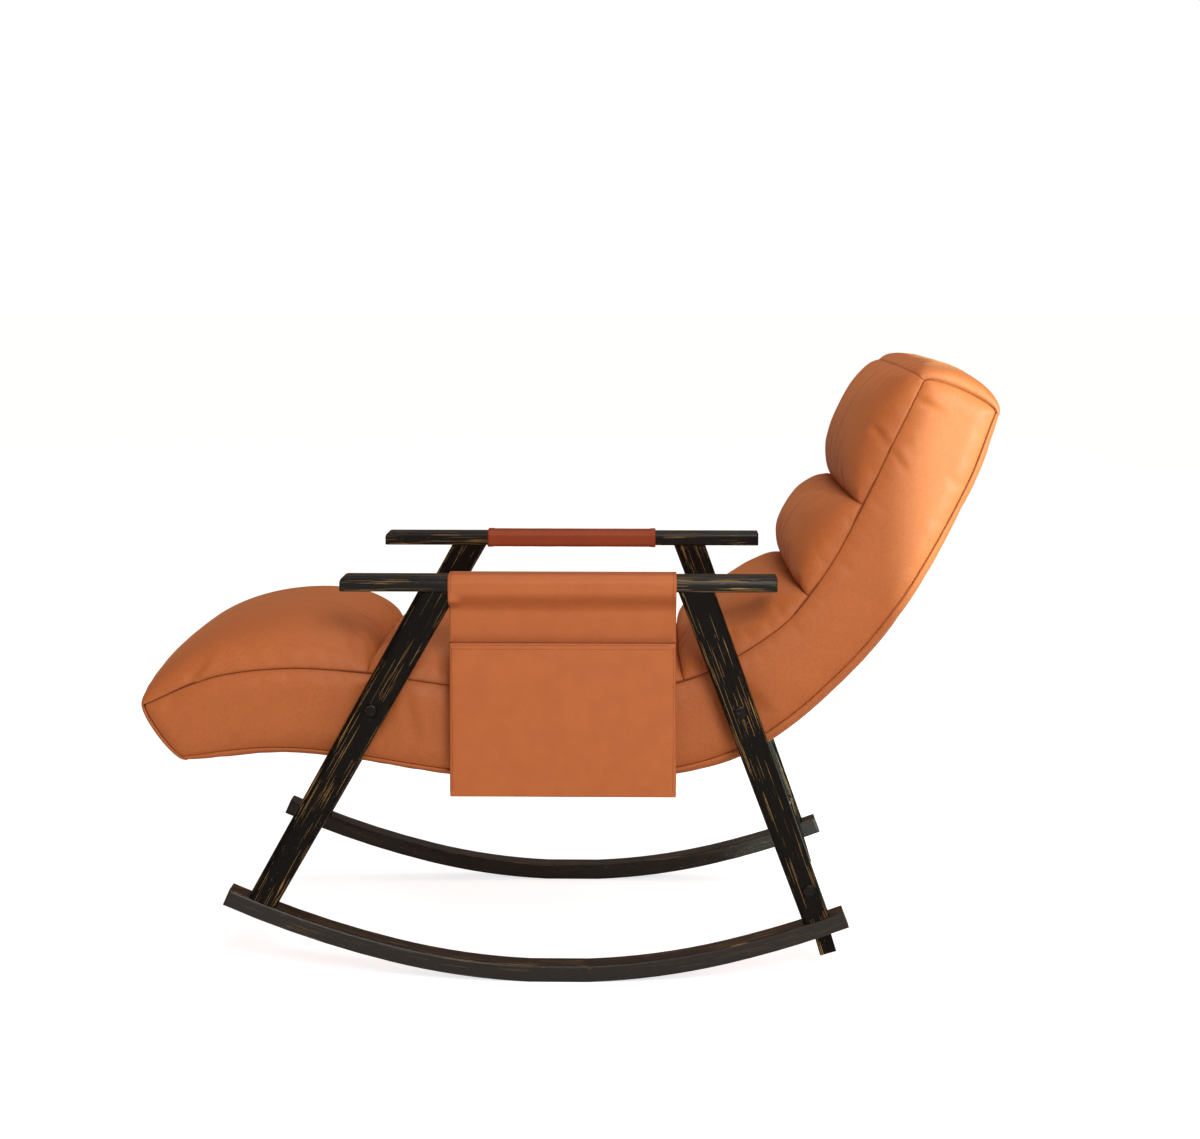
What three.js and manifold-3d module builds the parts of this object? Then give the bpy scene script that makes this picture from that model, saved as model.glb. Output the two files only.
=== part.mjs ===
// A rocking lounge chair. Two side frames, each a bent-wood runner with two splayed legs and a
// flat arm, are bolted to one long padded body. The body is a pair of curved wooden side rails
// with cross boards, webbing and foam, and its cover is sewn across into six fat rolls.
// A storage bag hangs from the left arm, the right arm wears a sleeve, and a stop bar
// swings down behind each runner to keep the chair from tipping back.
// Millimetres. +X points from the foot end to the head, +Y to the sitter's right, +Z up.
import * as THREE from 'three';
import { mergeVertices } from 'three/addons/utils/BufferGeometryUtils.js';
import Module from 'manifold-3d';

const wasm = await Module();
wasm.setup();

// Clearances and cutting
const touchGap = 0.3;            // between pieces that touch
const cutOverrunLength = 20;     // how far a cutter reaches past what it cuts
const mergeDistance = 0.0005;
const cornerSteps = 5;
const edgeSteps = 3;
const settlePasses = 8;          // to find a runner's height at a given place

// Side frames
const bodyWidth = 524;           // the padded body between them
const frameGap = 12;             // from the body to a side frame
const frameWidth = 42;           // legs and runners, across the chair
const frameSpacing = bodyWidth + 2 * frameGap + frameWidth;   // between their middles
const legEdgeRadius = 9;         // rounded long edges of the legs

// Runners: a short straight stretch that the chair comes to rest on, then a tight arc that
// eases into a flatter one at both ends
const runnerFlatLength = 44;       // on each side of the middle
const runnerMiddleRadius = 1042;
const runnerMiddleLength = 250;
const runnerEndRadius = 1500;
const runnerFrontLength = 499;
const runnerRearLength = 429;
const runnerThickness = 25.5;
const runnerEdgeRadius = 3;
const runnerMiddleFacets = 8;    // on each side of the straight stretch
const runnerEndFacets = 5;

// Arms
const armLength = 636;
const armWidth = 50;
const armThickness = 22;
const armUndersideHeight = 586;  // above the floor
const armOuterRadius = 11;
const armInnerRadius = 6;
const armLowerRadius = 2;
const armFrontRadius = 9;
const armRearRadius = 2;

// Legs: where each one's middle line meets the arm and the runner, and its width there
const frontLegTopDistance = 175;
const frontLegFootDistance = 441;
const frontLegTopWidth = 51;
const frontLegFootWidth = 43;
const rearLegTopDistance = 201;
const rearLegFootDistance = 381;
const rearLegTopWidth = 50;
const rearLegFootWidth = 40;

// Tenons that hold the legs in the arm and in the runner
const tenonLength = 28;
const tenonWidth = 14;
const tenonDepth = 12;

// Padded body: its middle line, seen from the side, and its size round that line
const bodyLength = 1176;
const bodyRiseHeight = 507;
const bodyFrontDistance = 592;   // the foot end, forward of the arm's middle
const bodyLowHeight = 360;       // the lowest place of the middle line, above the floor
const bodyHeight = 122;          // from the lower side seam to the upper one
const bodyLineShares = [
  [0, 0.014], [0.078, 0.067], [0.163, 0.083], [0.248, 0.067], [0.363, 0.028],
  [0.512, 0], [0.655, 0.039], [0.724, 0.103], [0.82, 0.27], [0.882, 0.45],
  [0.927, 0.635], [0.962, 0.803], [1, 1],
];
const bodyHeightShares = [0.8, 0.95, 1, 1.03, 1.05, 1.05, 1.02, 1, 0.86, 0.92, 0.97, 1, 0.95];

// Layers of the body, and what is inside it
const sidePaddingThickness = 15;   // foam and cover on each side
const foamLayerThickness = 12;   // under the rolls
const webbingThickness = 1.5;
const webbingWidth = 60;
const webbingShares = [0.12, 0.3, 0.42, 0.52, 0.64, 0.76, 0.88];
const railThickness = 20;
const railRiseHeight = 8;        // from the back cover up to the rail
const railEndGap = 10;
const railTaperHeight = 40;      // how much lower the rails are at the head
const railTaperStartShare = 0.5;
const crossBoardGap = 6;         // lower than the rails
const crossBoardShares = [0.035, 0.215, 0.54, 0.76, 0.965];
const crossBoardThicknesses = [40, 30, 18, 18, 18];

// Rolls of the cover, from the foot to the head, and the cushioned back and ends
const rollEndShares = [0, 0.211, 0.385, 0.56, 0.741, 0.857, 1];
const rollNames = ['foot', 'calf', 'seat', 'rear_seat', 'lumbar', 'head'];
const rollHeight = 68;
const rollHeightShares = [1.04, 0.98, 0.98, 0.96, 1, 0.85];
const rollCrestShares = [0.6, 0.5, 0.5, 0.5, 0.46, 0.5];   // where along a roll its top lies
const creaseHeight = 16;
const creaseDrawDepth = 7;       // how far a crease pulls the sides in
const rollFullness = 2.2;        // power of the curve along a roll
const crownFullness = 2.7;       // power of the curve across it
const rollStepsAlong = 12;
const rollStepsAcross = 16;
const backCrownHeight = 9;
const backFullness = 5.4;
const backStepsAcross = 6;
const headCrownHeight = 29;
const footCrownHeight = 9;
const headBulgeDepth = 13;       // of the side panels themselves
const footBulgeDepth = 8;
const endSteps = 10;
const endFullness = 2;
const endEdgeShare = 0.1;        // of an end's crown, left at the seams
const curveDivisions = 600;
const footLean = 19;             // degrees, the foot end leans out at the top
const footLeanLength = 100;

// Bolts between the legs and the body, and of the stop bars
const boltRadius = 4;
const boltHeadRadius = 8;
const boltHeadHeight = 5;
const boltHeadShares = [[1, 0], [1, 0.7], [0.8, 1]];   // of the head's radius and height
const boltRiseHeight = 49;       // above the lowest place of the body's middle line
const capRadius = 9.8;
const capDepth = 4;
const capDomeHeight = 1.2;
const capDomeShares = [[1, -0.3], [0.86, 0.4], [0.5, 0.85], [0, 1]];   // of the radius and the dome
const spacerRadius = 13;
const roundSteps = 14;

// Stop bars
const stopPivotHeight = 142;
const stopPivotDistance = 5;     // behind the leg's middle line
const stopBarWidth = 25;
const stopBarThickness = 16;
const stopBarLength = 112;       // from the pivot to the lower end
const stopBarTilt = 17;          // degrees, lower end to the rear
const stopBarEdgeRadius = 1.5;
const nutRadius = 8;
const nutHeight = 6;
const nutDomeHeight = 3;
const nutDomeShares = [[1, 0], [0.6, 0.8], [0, 1]];   // of the nut's radius and its dome
const nutSides = 6;
const stopBarEndSteps = 10;

// Sleeve on the right arm
const sleeveLength = 286;
const sleeveThickness = 2.5;

// Storage bag on the left arm
const bagGap = 44;               // shorter than the distance between the legs' tops
const bagLength = frontLegTopDistance + rearLegTopDistance - bagGap;
const bagOffsetDistance = 6;     // behind the arm's middle
const strapThickness = 2.5;
const strapDropHeight = 35;      // from the arm's underside to where the strap's two sides meet
const pocketDropHeight = 76;     // from the arm's underside to the mouth of the pocket
const pocketHeight = 230;
const pocketTopHeight = armUndersideHeight - pocketDropHeight;
const pocketBottomHeight = pocketTopHeight - pocketHeight;
const pocketDepth = 24;          // across the chair
const pocketWallThickness = 3;
const pocketCornerRadius = 8;
const pocketEdgeRadius = 6;
const hingeRadius = 1.5;
const hingeSteps = 6;

// Materials
const blackWood = { color: 0x1d1a18, roughness: 0.55 };
const cover = { color: 0xb9693c, roughness: 0.6 };
const leather = { color: 0xb0602f, roughness: 0.6 };
const steel = { color: 0x9a9a98, roughness: 0.35, metalness: 1 };
const beech = { color: 0xc9a873, roughness: 0.7 };
const webbing = { color: 0x2c2c2e, roughness: 0.9 };
const foam = { color: 0xe6dcc0, roughness: 0.95 };

const sides = [
  { name: 'left', sign: -1 },
  { name: 'right', sign: 1 },
];
const chair = new THREE.Group();

// Meshes and booleans

function addPiece(name, geometry, material) {
  geometry.computeVertexNormals();
  const mesh = new THREE.Mesh(geometry, new THREE.MeshStandardMaterial(material));
  mesh.name = name;
  chair.add(mesh);
  return mesh;
}

function solidOf(geometry) {
  const bare = geometry.clone();
  bare.deleteAttribute('normal');
  bare.deleteAttribute('uv');
  const merged = mergeVertices(bare, mergeDistance);
  return new wasm.Manifold(new wasm.Mesh({
    numProp: 3,
    vertProperties: new Float32Array(merged.attributes.position.array),
    triVerts: new Uint32Array(merged.index.array),
  }));
}

function geometryOf(solid) {
  const mesh = solid.getMesh();
  const geometry = new THREE.BufferGeometry();
  geometry.setAttribute('position', new THREE.BufferAttribute(mesh.vertProperties, 3));
  geometry.setIndex(new THREE.BufferAttribute(mesh.triVerts, 1));
  return geometry;
}

function cut(geometry, ...cutters) {
  let solid = solidOf(geometry);
  for (const cutter of cutters) {
    solid = solid.subtract(solidOf(cutter));
  }
  return geometryOf(solid);
}

function join(geometry, ...others) {
  let solid = solidOf(geometry);
  for (const other of others) {
    solid = solid.add(solidOf(other));
  }
  return geometryOf(solid);
}

// Basic shapes

// A stretch across the chair on one side, given outwards from the middle, in rising order.
function stretch(sign, near, far) {
  return sign < 0 ? [-far, -near] : [near, far];
}

// An outline in the side view, points [x, z], extruded from y = low to y = high.
function acrossExtrude(outline, low, high, round = 0) {
  const geometry = new THREE.ExtrudeGeometry(new THREE.Shape(toVectors(outline)), {
    depth: high - low - 2 * round,
    bevelEnabled: round > 0,
    bevelThickness: round,
    bevelSize: round,
    bevelOffset: -round,
    bevelSegments: edgeSteps,
  });
  geometry.rotateX(Math.PI / 2);
  geometry.translate(0, high - round, 0);
  return geometry;
}

// An outline in the end view, points [y, z], with one hole or none, extruded along X.
function alongExtrude(outline, low, high, hole = null) {
  const shape = new THREE.Shape(toVectors(outline));
  if (hole) {
    shape.holes.push(new THREE.Path(toVectors(hole)));
  }
  const geometry = new THREE.ExtrudeGeometry(shape, { depth: high - low, bevelEnabled: false });
  const turn = new THREE.Matrix4().makeBasis(
    new THREE.Vector3(0, 1, 0),
    new THREE.Vector3(0, 0, 1),
    new THREE.Vector3(1, 0, 0),
  );
  geometry.applyMatrix4(turn);
  geometry.translate(low, 0, 0);
  return geometry;
}

function toVectors(points) {
  return points.map(([a, b]) => new THREE.Vector2(a, b));
}

function boxBetween(low, high) {
  const size = high.map((value, axis) => value - low[axis]);
  const middle = high.map((value, axis) => (value + low[axis]) / 2);
  return new THREE.BoxGeometry(...size).translate(...middle);
}

// A round bar across the chair.
function barAcross(radius, x, z, low, high) {
  return new THREE.CylinderGeometry(radius, radius, high - low, roundSteps)
    .translate(x, (low + high) / 2, z);
}

// A turned piece, profile [radius, height], with its axis across the chair and its top outside.
function turnedAcross(profile, x, z, sign, seat, steps = roundSteps) {
  const geometry = new THREE.LatheGeometry(toVectors(profile), steps);
  if (sign < 0) {
    geometry.rotateX(Math.PI);
  }
  return geometry.translate(x, sign * seat, z);
}

// A rectangle with its own radius at each corner: lower left, lower right, upper right, upper left.
function roundedRectangle(left, right, bottom, top, radii) {
  const corners = [
    [left, bottom, 1, 1, Math.PI],
    [right, bottom, -1, 1, 1.5 * Math.PI],
    [right, top, -1, -1, 0],
    [left, top, 1, -1, Math.PI / 2],
  ];
  return corners.flatMap(([x, z, inX, inZ, start], index) => {
    const radius = radii[index];
    const centre = [x + inX * radius, z + inZ * radius];
    return Array.from({ length: cornerSteps + 1 }, (_, step) => {
      const angle = start + (step / cornerSteps) * (Math.PI / 2);
      return [centre[0] + radius * Math.cos(angle), centre[1] + radius * Math.sin(angle)];
    });
  });
}

// Runners

// A point of the runner at x from its lowest place, and raised along its thickness.
function runnerPoint(x, raised) {
  const reach = Math.abs(x);
  const joinAngle = Math.asin(runnerMiddleLength / runnerMiddleRadius);
  let angle = Math.asin(Math.min(reach, runnerMiddleLength) / runnerMiddleRadius);
  let height = runnerMiddleRadius * (1 - Math.cos(angle));
  if (reach > runnerMiddleLength) {
    angle = Math.asin(Math.sin(joinAngle) + (reach - runnerMiddleLength) / runnerEndRadius);
    height += runnerEndRadius * (Math.cos(joinAngle) - Math.cos(angle));
  }
  const side = Math.sign(x);
  return [x - side * raised * Math.sin(angle), height + raised * Math.cos(angle)];
}

function runnerStations() {
  const stations = [];
  for (let step = 0; step < runnerEndFacets; step += 1) {
    const share = step / runnerEndFacets;
    stations.push(-runnerFrontLength + share * (runnerFrontLength - runnerMiddleLength));
  }
  for (const side of [-1, 1]) {
    for (let step = 0; step <= runnerMiddleFacets; step += 1) {
      const share = (side < 0 ? runnerMiddleFacets - step : step) / runnerMiddleFacets;
      stations.push(side * THREE.MathUtils.lerp(runnerFlatLength, runnerMiddleLength, share));
    }
  }
  for (let step = 1; step <= runnerEndFacets; step += 1) {
    const share = step / runnerEndFacets;
    stations.push(runnerMiddleLength + share * (runnerRearLength - runnerMiddleLength));
  }
  return stations;
}

function runnerOutline(low, high) {
  const stations = runnerStations();
  const lower = stations.map((x) => runnerPoint(x, low));
  const upper = stations.map((x) => runnerPoint(x, high));
  return [...lower, ...upper.reverse()];
}

function runnerTopAt(x) {
  let station = x;
  for (let pass = 0; pass < settlePasses; pass += 1) {
    station += x - runnerPoint(station, runnerThickness)[0];
  }
  return runnerPoint(station, runnerThickness)[1];
}

// Legs

const legs = [
  {
    name: 'front_leg',
    top: [-frontLegTopDistance, armUndersideHeight],
    foot: [-frontLegFootDistance, runnerTopAt(-frontLegFootDistance)],
    topWidth: frontLegTopWidth,
    footWidth: frontLegFootWidth,
  },
  {
    name: 'rear_leg',
    top: [rearLegTopDistance, armUndersideHeight],
    foot: [rearLegFootDistance, runnerTopAt(rearLegFootDistance)],
    topWidth: rearLegTopWidth,
    footWidth: rearLegFootWidth,
  },
];

function legPointAtHeight(leg, z) {
  const share = (leg.top[1] - z) / (leg.top[1] - leg.foot[1]);
  return [leg.top[0] + share * (leg.foot[0] - leg.top[0]), z];
}

// The tapered blank, longer than the leg at both ends.
function legOutline(leg, grow = 0) {
  const top = new THREE.Vector2(...leg.top);
  const foot = new THREE.Vector2(...leg.foot);
  const along = foot.clone().sub(top);
  const length = along.length();
  along.normalize();
  const side = new THREE.Vector2(-along.y, along.x);
  const extra = Math.max(leg.topWidth, leg.footWidth);
  const corner = (distance, hand) => {
    const width = leg.topWidth + (leg.footWidth - leg.topWidth) * (distance / length) + 2 * grow;
    const point = top.clone().addScaledVector(along, distance);
    point.addScaledVector(side, hand * width / 2);
    return [point.x, point.y];
  };
  return [
    corner(-extra, 1), corner(-extra, -1), corner(length + extra, -1), corner(length + extra, 1),
  ];
}

function tenonBox([x, z], yMiddle, grow) {
  return boxBetween(
    [x - tenonLength / 2 - grow, yMiddle - tenonWidth / 2 - grow, z - tenonDepth - grow],
    [x + tenonLength / 2 + grow, yMiddle + tenonWidth / 2 + grow, z + tenonDepth + grow],
  );
}

// The hole for a bolt through a leg, with a wider seat at the outside for the head and the cap.
function boltBores([x, z], sign) {
  const outside = frameSpacing / 2 + frameWidth / 2;
  const seatFloor = outside - capDepth - boltHeadHeight - 2 * touchGap;
  const inside = frameSpacing / 2 - frameWidth;
  return [
    barAcross(capRadius + touchGap, x, z, ...stretch(sign, seatFloor, outside + cutOverrunLength)),
    barAcross(boltRadius + touchGap, x, z, ...stretch(sign, inside, outside)),
  ];
}

const boltPlaces = legs.map((leg) => legPointAtHeight(leg, bodyLowHeight + boltRiseHeight));
const stopPivot = legPointAtHeight(legs[1], stopPivotHeight);
stopPivot[0] += stopPivotDistance;

function legGeometry(leg, index, sign) {
  const yMiddle = sign * frameSpacing / 2;
  const low = yMiddle - frameWidth / 2;
  const high = yMiddle + frameWidth / 2;
  const blank = acrossExtrude(legOutline(leg), low, high, legEdgeRadius);
  const above = boxBetween(
    [leg.top[0] - armLength, low - cutOverrunLength, armUndersideHeight - touchGap],
    [leg.top[0] + armLength, high + cutOverrunLength, armUndersideHeight + armLength],
  );
  const below = acrossExtrude(
    runnerOutline(-armLength, runnerThickness + touchGap),
    low - cutOverrunLength,
    high + cutOverrunLength,
  );
  const bores = boltBores(boltPlaces[index], sign);
  if (leg.name === 'rear_leg') {
    bores.push(...boltBores(stopPivot, sign));
  }
  const trimmed = cut(blank, above, below);
  const tenons = [leg.top, leg.foot].map((place) => tenonBox(place, yMiddle, 0));
  const withTenons = join(trimmed, ...tenons);
  return cut(withTenons, ...bores);
}

// Arms

function armSection(sign, grow) {
  const inner = sign * (frameSpacing / 2 - armWidth / 2 - grow);
  const outer = sign * (frameSpacing / 2 + armWidth / 2 + grow);
  const [left, right] = sign < 0 ? [outer, inner] : [inner, outer];
  const upper = sign < 0 ? [armInnerRadius, armOuterRadius] : [armOuterRadius, armInnerRadius];
  const radii = [armLowerRadius, armLowerRadius, ...upper].map((radius) => radius + grow);
  return roundedRectangle(
    left, right, armUndersideHeight - grow, armUndersideHeight + armThickness + grow, radii,
  );
}

function armGeometry(sign) {
  const bar = alongExtrude(armSection(sign, 0), -armLength / 2, armLength / 2);
  const sideView = roundedRectangle(
    -armLength / 2, armLength / 2, armUndersideHeight, armUndersideHeight + armThickness,
    [armLowerRadius, armRearRadius, armRearRadius, armFrontRadius],
  );
  const middle = frameSpacing / 2;
  const [low, high] = stretch(sign, middle - armWidth, middle + armWidth);
  const shaped = geometryOf(solidOf(bar).intersect(solidOf(acrossExtrude(sideView, low, high))));
  const mortises = legs.map((leg) => tenonBox(leg.top, sign * middle, touchGap));
  return cut(shaped, ...mortises);
}

for (const { name, sign } of sides) {
  const yMiddle = sign * frameSpacing / 2;
  const runner = acrossExtrude(
    runnerOutline(0, runnerThickness),
    yMiddle - frameWidth / 2, yMiddle + frameWidth / 2, runnerEdgeRadius,
  );
  const mortises = legs.map((leg) => tenonBox(leg.foot, yMiddle, touchGap));
  addPiece(`runner_${name}`, cut(runner, ...mortises), blackWood);
  legs.forEach((leg, index) => {
    addPiece(`${leg.name}_${name}`, legGeometry(leg, index, sign), blackWood);
  });
  addPiece(`arm_${name}`, armGeometry(sign), blackWood);
}

// Padded body

const bodyCurve = new THREE.CatmullRomCurve3(
  bodyLineShares.map(([along, up]) => new THREE.Vector3(
    along * bodyLength - bodyFrontDistance, 0, bodyLowHeight + up * bodyRiseHeight,
  )),
  false,
  'centripetal',
);
bodyCurve.arcLengthDivisions = curveDivisions;
const bodyArc = bodyCurve.getLength();

// Steps that crowd at both ends, where a crown is steep.
function crowded(step, steps) {
  return (1 - Math.cos(Math.PI * step / steps)) / 2;
}

// The middle line at a share of its length: the place, the way along, the way out to the
// sitter's side, and half the height between the side seams there.
function curveStation(share) {
  const raw = bodyCurve.getUtoTmapping(share);
  const place = bodyCurve.getPoint(raw);
  const along = bodyCurve.getTangent(raw);
  const out = new THREE.Vector3(-along.z, 0, along.x);
  const lean = Math.max(1 - share * bodyArc / footLeanLength, 0) ** 2 * footLean;
  out.applyAxisAngle(new THREE.Vector3(0, -1, 0), THREE.MathUtils.degToRad(lean));
  const spot = raw * (bodyHeightShares.length - 1);
  const before = Math.min(Math.floor(spot), bodyHeightShares.length - 2);
  const heightShare = THREE.MathUtils.lerp(
    bodyHeightShares[before], bodyHeightShares[before + 1], spot - before,
  );
  return { place, along, out, half: heightShare * bodyHeight / 2 };
}

// Every layer bends at the same stations along the body, so that neighbours lie flat together.
const stationShares = rollEndShares.slice(0, -1).flatMap((from, index) => Array.from(
  { length: rollStepsAlong },
  (_, step) => THREE.MathUtils.lerp(from, rollEndShares[index + 1], crowded(step, rollStepsAlong)),
));
stationShares.push(1);
const curveStations = stationShares.map(curveStation);

function bodyStation(share) {
  const next = Math.max(stationShares.findIndex((value) => value >= share), 1);
  const [before, after] = [curveStations[next - 1], curveStations[next]];
  const [from, to] = [stationShares[next - 1], stationShares[next]];
  const part = (share - from) / (to - from);
  return {
    share,
    place: before.place.clone().lerp(after.place, part),
    along: before.along.clone().lerp(after.along, part).normalize(),
    out: before.out.clone().lerp(after.out, part),
    half: THREE.MathUtils.lerp(before.half, after.half, part),
  };
}

function offsetPoint(station, distance) {
  return [
    station.place.x + station.out.x * distance,
    station.place.z + station.out.z * distance,
  ];
}

// Rises from 0 at one end to 1 in the middle and back to 0, flatter on top for a higher power.
function crown(share, power) {
  return (1 - Math.abs(2 * share - 1) ** power) ** (1 / power);
}

// The rounded end of the body, from the lower side seam to the upper one.
function endStations(share, heading, bulge) {
  const station = bodyStation(share);
  const out = new THREE.Vector3(station.out.z, 0, -station.out.x).multiplyScalar(heading);
  return Array.from({ length: endSteps + 1 }, (_, step) => {
    const up = crowded(step, endSteps);
    const place = station.place.clone()
      .addScaledVector(station.out, station.half * (2 * up - 1))
      .addScaledVector(out, bulge * crown(up, endFullness));
    return { place, out, up };
  });
}

const headStations = endStations(1, 1, headBulgeDepth);
const footStations = endStations(0, -1, footBulgeDepth);

function sideOutline() {
  const lower = curveStations.slice(1, -1).map((station) => offsetPoint(station, -station.half));
  const upper = curveStations.slice(1, -1).map((station) => offsetPoint(station, station.half));
  const end = (stations) => stations.map(({ place }) => [place.x, place.z]);
  return [...lower, ...end(headStations), ...upper.reverse(), ...end(footStations).reverse()];
}

// The side outline of a layer that follows the body between two shares of its length.
function layerOutline(from, to, lowerOf, upperOf) {
  const between = stationShares.filter((share) => share > from && share < to);
  const stations = [from, ...between, to].map(bodyStation);
  const lower = stations.map((station) => offsetPoint(station, lowerOf(station)));
  const upper = stations.map((station) => offsetPoint(station, upperOf(station)));
  return [...lower, ...upper.reverse()];
}

// Heights of the layers from the middle line
const foamTop = (station) => station.half;
const foamBottom = (station) => station.half - foamLayerThickness;
const webbingTop = (station) => foamBottom(station) - touchGap;
const webbingBottom = (station) => webbingTop(station) - webbingThickness;
const railTop = (station) => webbingBottom(station) - touchGap;
const railBottom = ({ share, half }) => (
  railRiseHeight + railTaperHeight * THREE.MathUtils.smoothstep(share, railTaperStartShare, 1) - half
);

const railOuter = bodyWidth / 2 - sidePaddingThickness - touchGap;
const railInner = railOuter - railThickness;
const endSetbackShare = railEndGap / bodyArc;

for (const { name, sign } of sides) {
  const holeEnds = [railInner - cutOverrunLength, bodyWidth / 2 + cutOverrunLength];
  const holes = boltPlaces.map(([x, z]) => barAcross(
    boltRadius + touchGap, x, z, ...stretch(sign, ...holeEnds),
  ));
  const panel = acrossExtrude(
    sideOutline(), ...stretch(sign, bodyWidth / 2 - sidePaddingThickness, bodyWidth / 2),
  );
  addPiece(`side_panel_${name}`, cut(panel, ...holes), cover);

  const rail = acrossExtrude(
    layerOutline(endSetbackShare, 1 - endSetbackShare, railBottom, railTop),
    ...stretch(sign, railInner, railOuter),
  );
  addPiece(`side_rail_${name}`, cut(rail, ...holes), beech);
}

crossBoardShares.forEach((share, index) => {
  const halfShare = crossBoardThicknesses[index] / 2 / bodyArc;
  const outline = layerOutline(
    share - halfShare, share + halfShare,
    (station) => railBottom(station) + crossBoardGap,
    (station) => railTop(station) - crossBoardGap,
  );
  const reach = railInner - touchGap;
  addPiece(`cross_board_${index + 1}`, acrossExtrude(outline, -reach, reach), beech);
});

webbingShares.forEach((share, index) => {
  const halfShare = webbingWidth / 2 / bodyArc;
  const outline = layerOutline(share - halfShare, share + halfShare, webbingBottom, webbingTop);
  addPiece(`webbing_${index + 1}`, acrossExtrude(outline, -railOuter, railOuter), webbing);
});

const foamSheet = acrossExtrude(layerOutline(0, 1, foamBottom, foamTop), -railOuter, railOuter);
addPiece('foam_layer', foamSheet, foam);

// Crowned forms

// A closed form that stands on a base strip across the chair. Each station of the strip has a
// place, a way out, a half width, and a height at each share of the width.
function crownedForm(stations, stepsAcross) {
  const positions = [];
  const ringSize = 2 * stepsAcross;
  for (const { place, out, halfWidth, heightAt } of stations) {
    for (let step = 0; step < ringSize; step += 1) {
      const onTop = step <= stepsAcross;
      const across = crowded(onTop ? step : ringSize - step, stepsAcross);
      const rise = onTop ? heightAt(across) : 0;
      const point = place.clone().addScaledVector(out, rise);
      positions.push(point.x, halfWidth * (2 * across - 1), point.z);
    }
  }
  const index = [];
  for (let ring = 0; ring < stations.length - 1; ring += 1) {
    for (let step = 0; step < ringSize; step += 1) {
      const a = ring * ringSize + step;
      const b = ring * ringSize + (step + 1) % ringSize;
      index.push(a, b, a + ringSize, b, b + ringSize, a + ringSize);
    }
  }
  for (const [ring, flip] of [[0, true], [stations.length - 1, false]]) {
    const first = ring * ringSize;
    for (let step = 0; step < stepsAcross; step += 1) {
      const [top, base] = [first + step, first + (ringSize - step) % ringSize];
      const [nextTop, nextBase] = [top + 1, first + ringSize - step - 1];
      const faces = [];
      if (step > 0) {
        faces.push([top, nextBase, base]);
      }
      if (step < stepsAcross - 1) {
        faces.push([top, nextTop, nextBase]);
      }
      for (const [a, b, c] of faces) {
        index.push(...(flip ? [a, c, b] : [a, b, c]));
      }
    }
  }
  const geometry = new THREE.BufferGeometry();
  geometry.setAttribute('position', new THREE.Float32BufferAttribute(positions, 3));
  geometry.setIndex(index);
  if (solidOf(geometry).volume() < 0) {
    geometry.setIndex(index.reverse());
  }
  return geometryOf(solidOf(geometry));
}

rollNames.forEach((name, index) => {
  const gapShare = touchGap / 2 / bodyArc;
  const from = rollEndShares[index] + gapShare;
  const to = rollEndShares[index + 1] - gapShare;
  const fullHeight = rollHeight * rollHeightShares[index];
  const crestPower = Math.log(1 / 2) / Math.log(rollCrestShares[index]);
  const stations = Array.from({ length: rollStepsAlong + 1 }, (_, step) => {
    const along = crowded(step, rollStepsAlong);
    const station = bodyStation(from + (to - from) * along);
    const swell = crown(along ** crestPower, rollFullness);
    const rise = THREE.MathUtils.lerp(creaseHeight, fullHeight, swell);
    return {
      place: station.place.clone().addScaledVector(station.out, station.half + touchGap),
      out: station.out,
      halfWidth: bodyWidth / 2 - creaseDrawDepth * (1 - swell),
      heightAt: (across) => rise * crown(across, crownFullness),
    };
  });
  addPiece(`${name}_roll`, crownedForm(stations, rollStepsAcross), cover);
});

const backStations = curveStations.map((station) => ({
  place: station.place.clone().addScaledVector(station.out, -station.half - touchGap),
  out: station.out.clone().negate(),
  halfWidth: bodyWidth / 2,
  heightAt: (across) => backCrownHeight * crown(across, backFullness),
}));
addPiece('back_cover', crownedForm(backStations, backStepsAcross), cover);

// The cushioned end of the body, standing on the ends of the side panels.
function endForm(stations, height) {
  return crownedForm(stations.map(({ place, out, up }) => {
    const rise = height * THREE.MathUtils.lerp(endEdgeShare, 1, crown(up, endFullness));
    return {
      place: place.clone().addScaledVector(out, touchGap),
      out,
      halfWidth: bodyWidth / 2,
      heightAt: (across) => rise * crown(across, backFullness),
    };
  }), endSteps);
}

addPiece('head_end', endForm(headStations, headCrownHeight), cover);
addPiece('foot_end', endForm(footStations, footCrownHeight), cover);

// Bolts, caps and spacers

const legOutside = frameSpacing / 2 + frameWidth / 2;
const legInside = frameSpacing / 2 - frameWidth / 2;
const headSeat = legOutside - capDepth - boltHeadHeight - touchGap;

// A bolt whose head sits in the leg and whose shank ends at the given distance from the middle.
function boltProfile(end) {
  const headHeight = boltHeadHeight - touchGap;
  const head = boltHeadShares.map(([out, up]) => [out * boltHeadRadius, up * headHeight]);
  const shank = [[0, end - headSeat], [boltRadius, end - headSeat], [boltRadius, 0]];
  return [...shank, ...head, [0, headHeight]];
}

function capProfile() {
  const dome = capDomeShares.map(([out, up]) => [out * capRadius, capDepth + up * capDomeHeight]);
  return [[0, 0], [capRadius, 0], ...dome];
}

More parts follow.
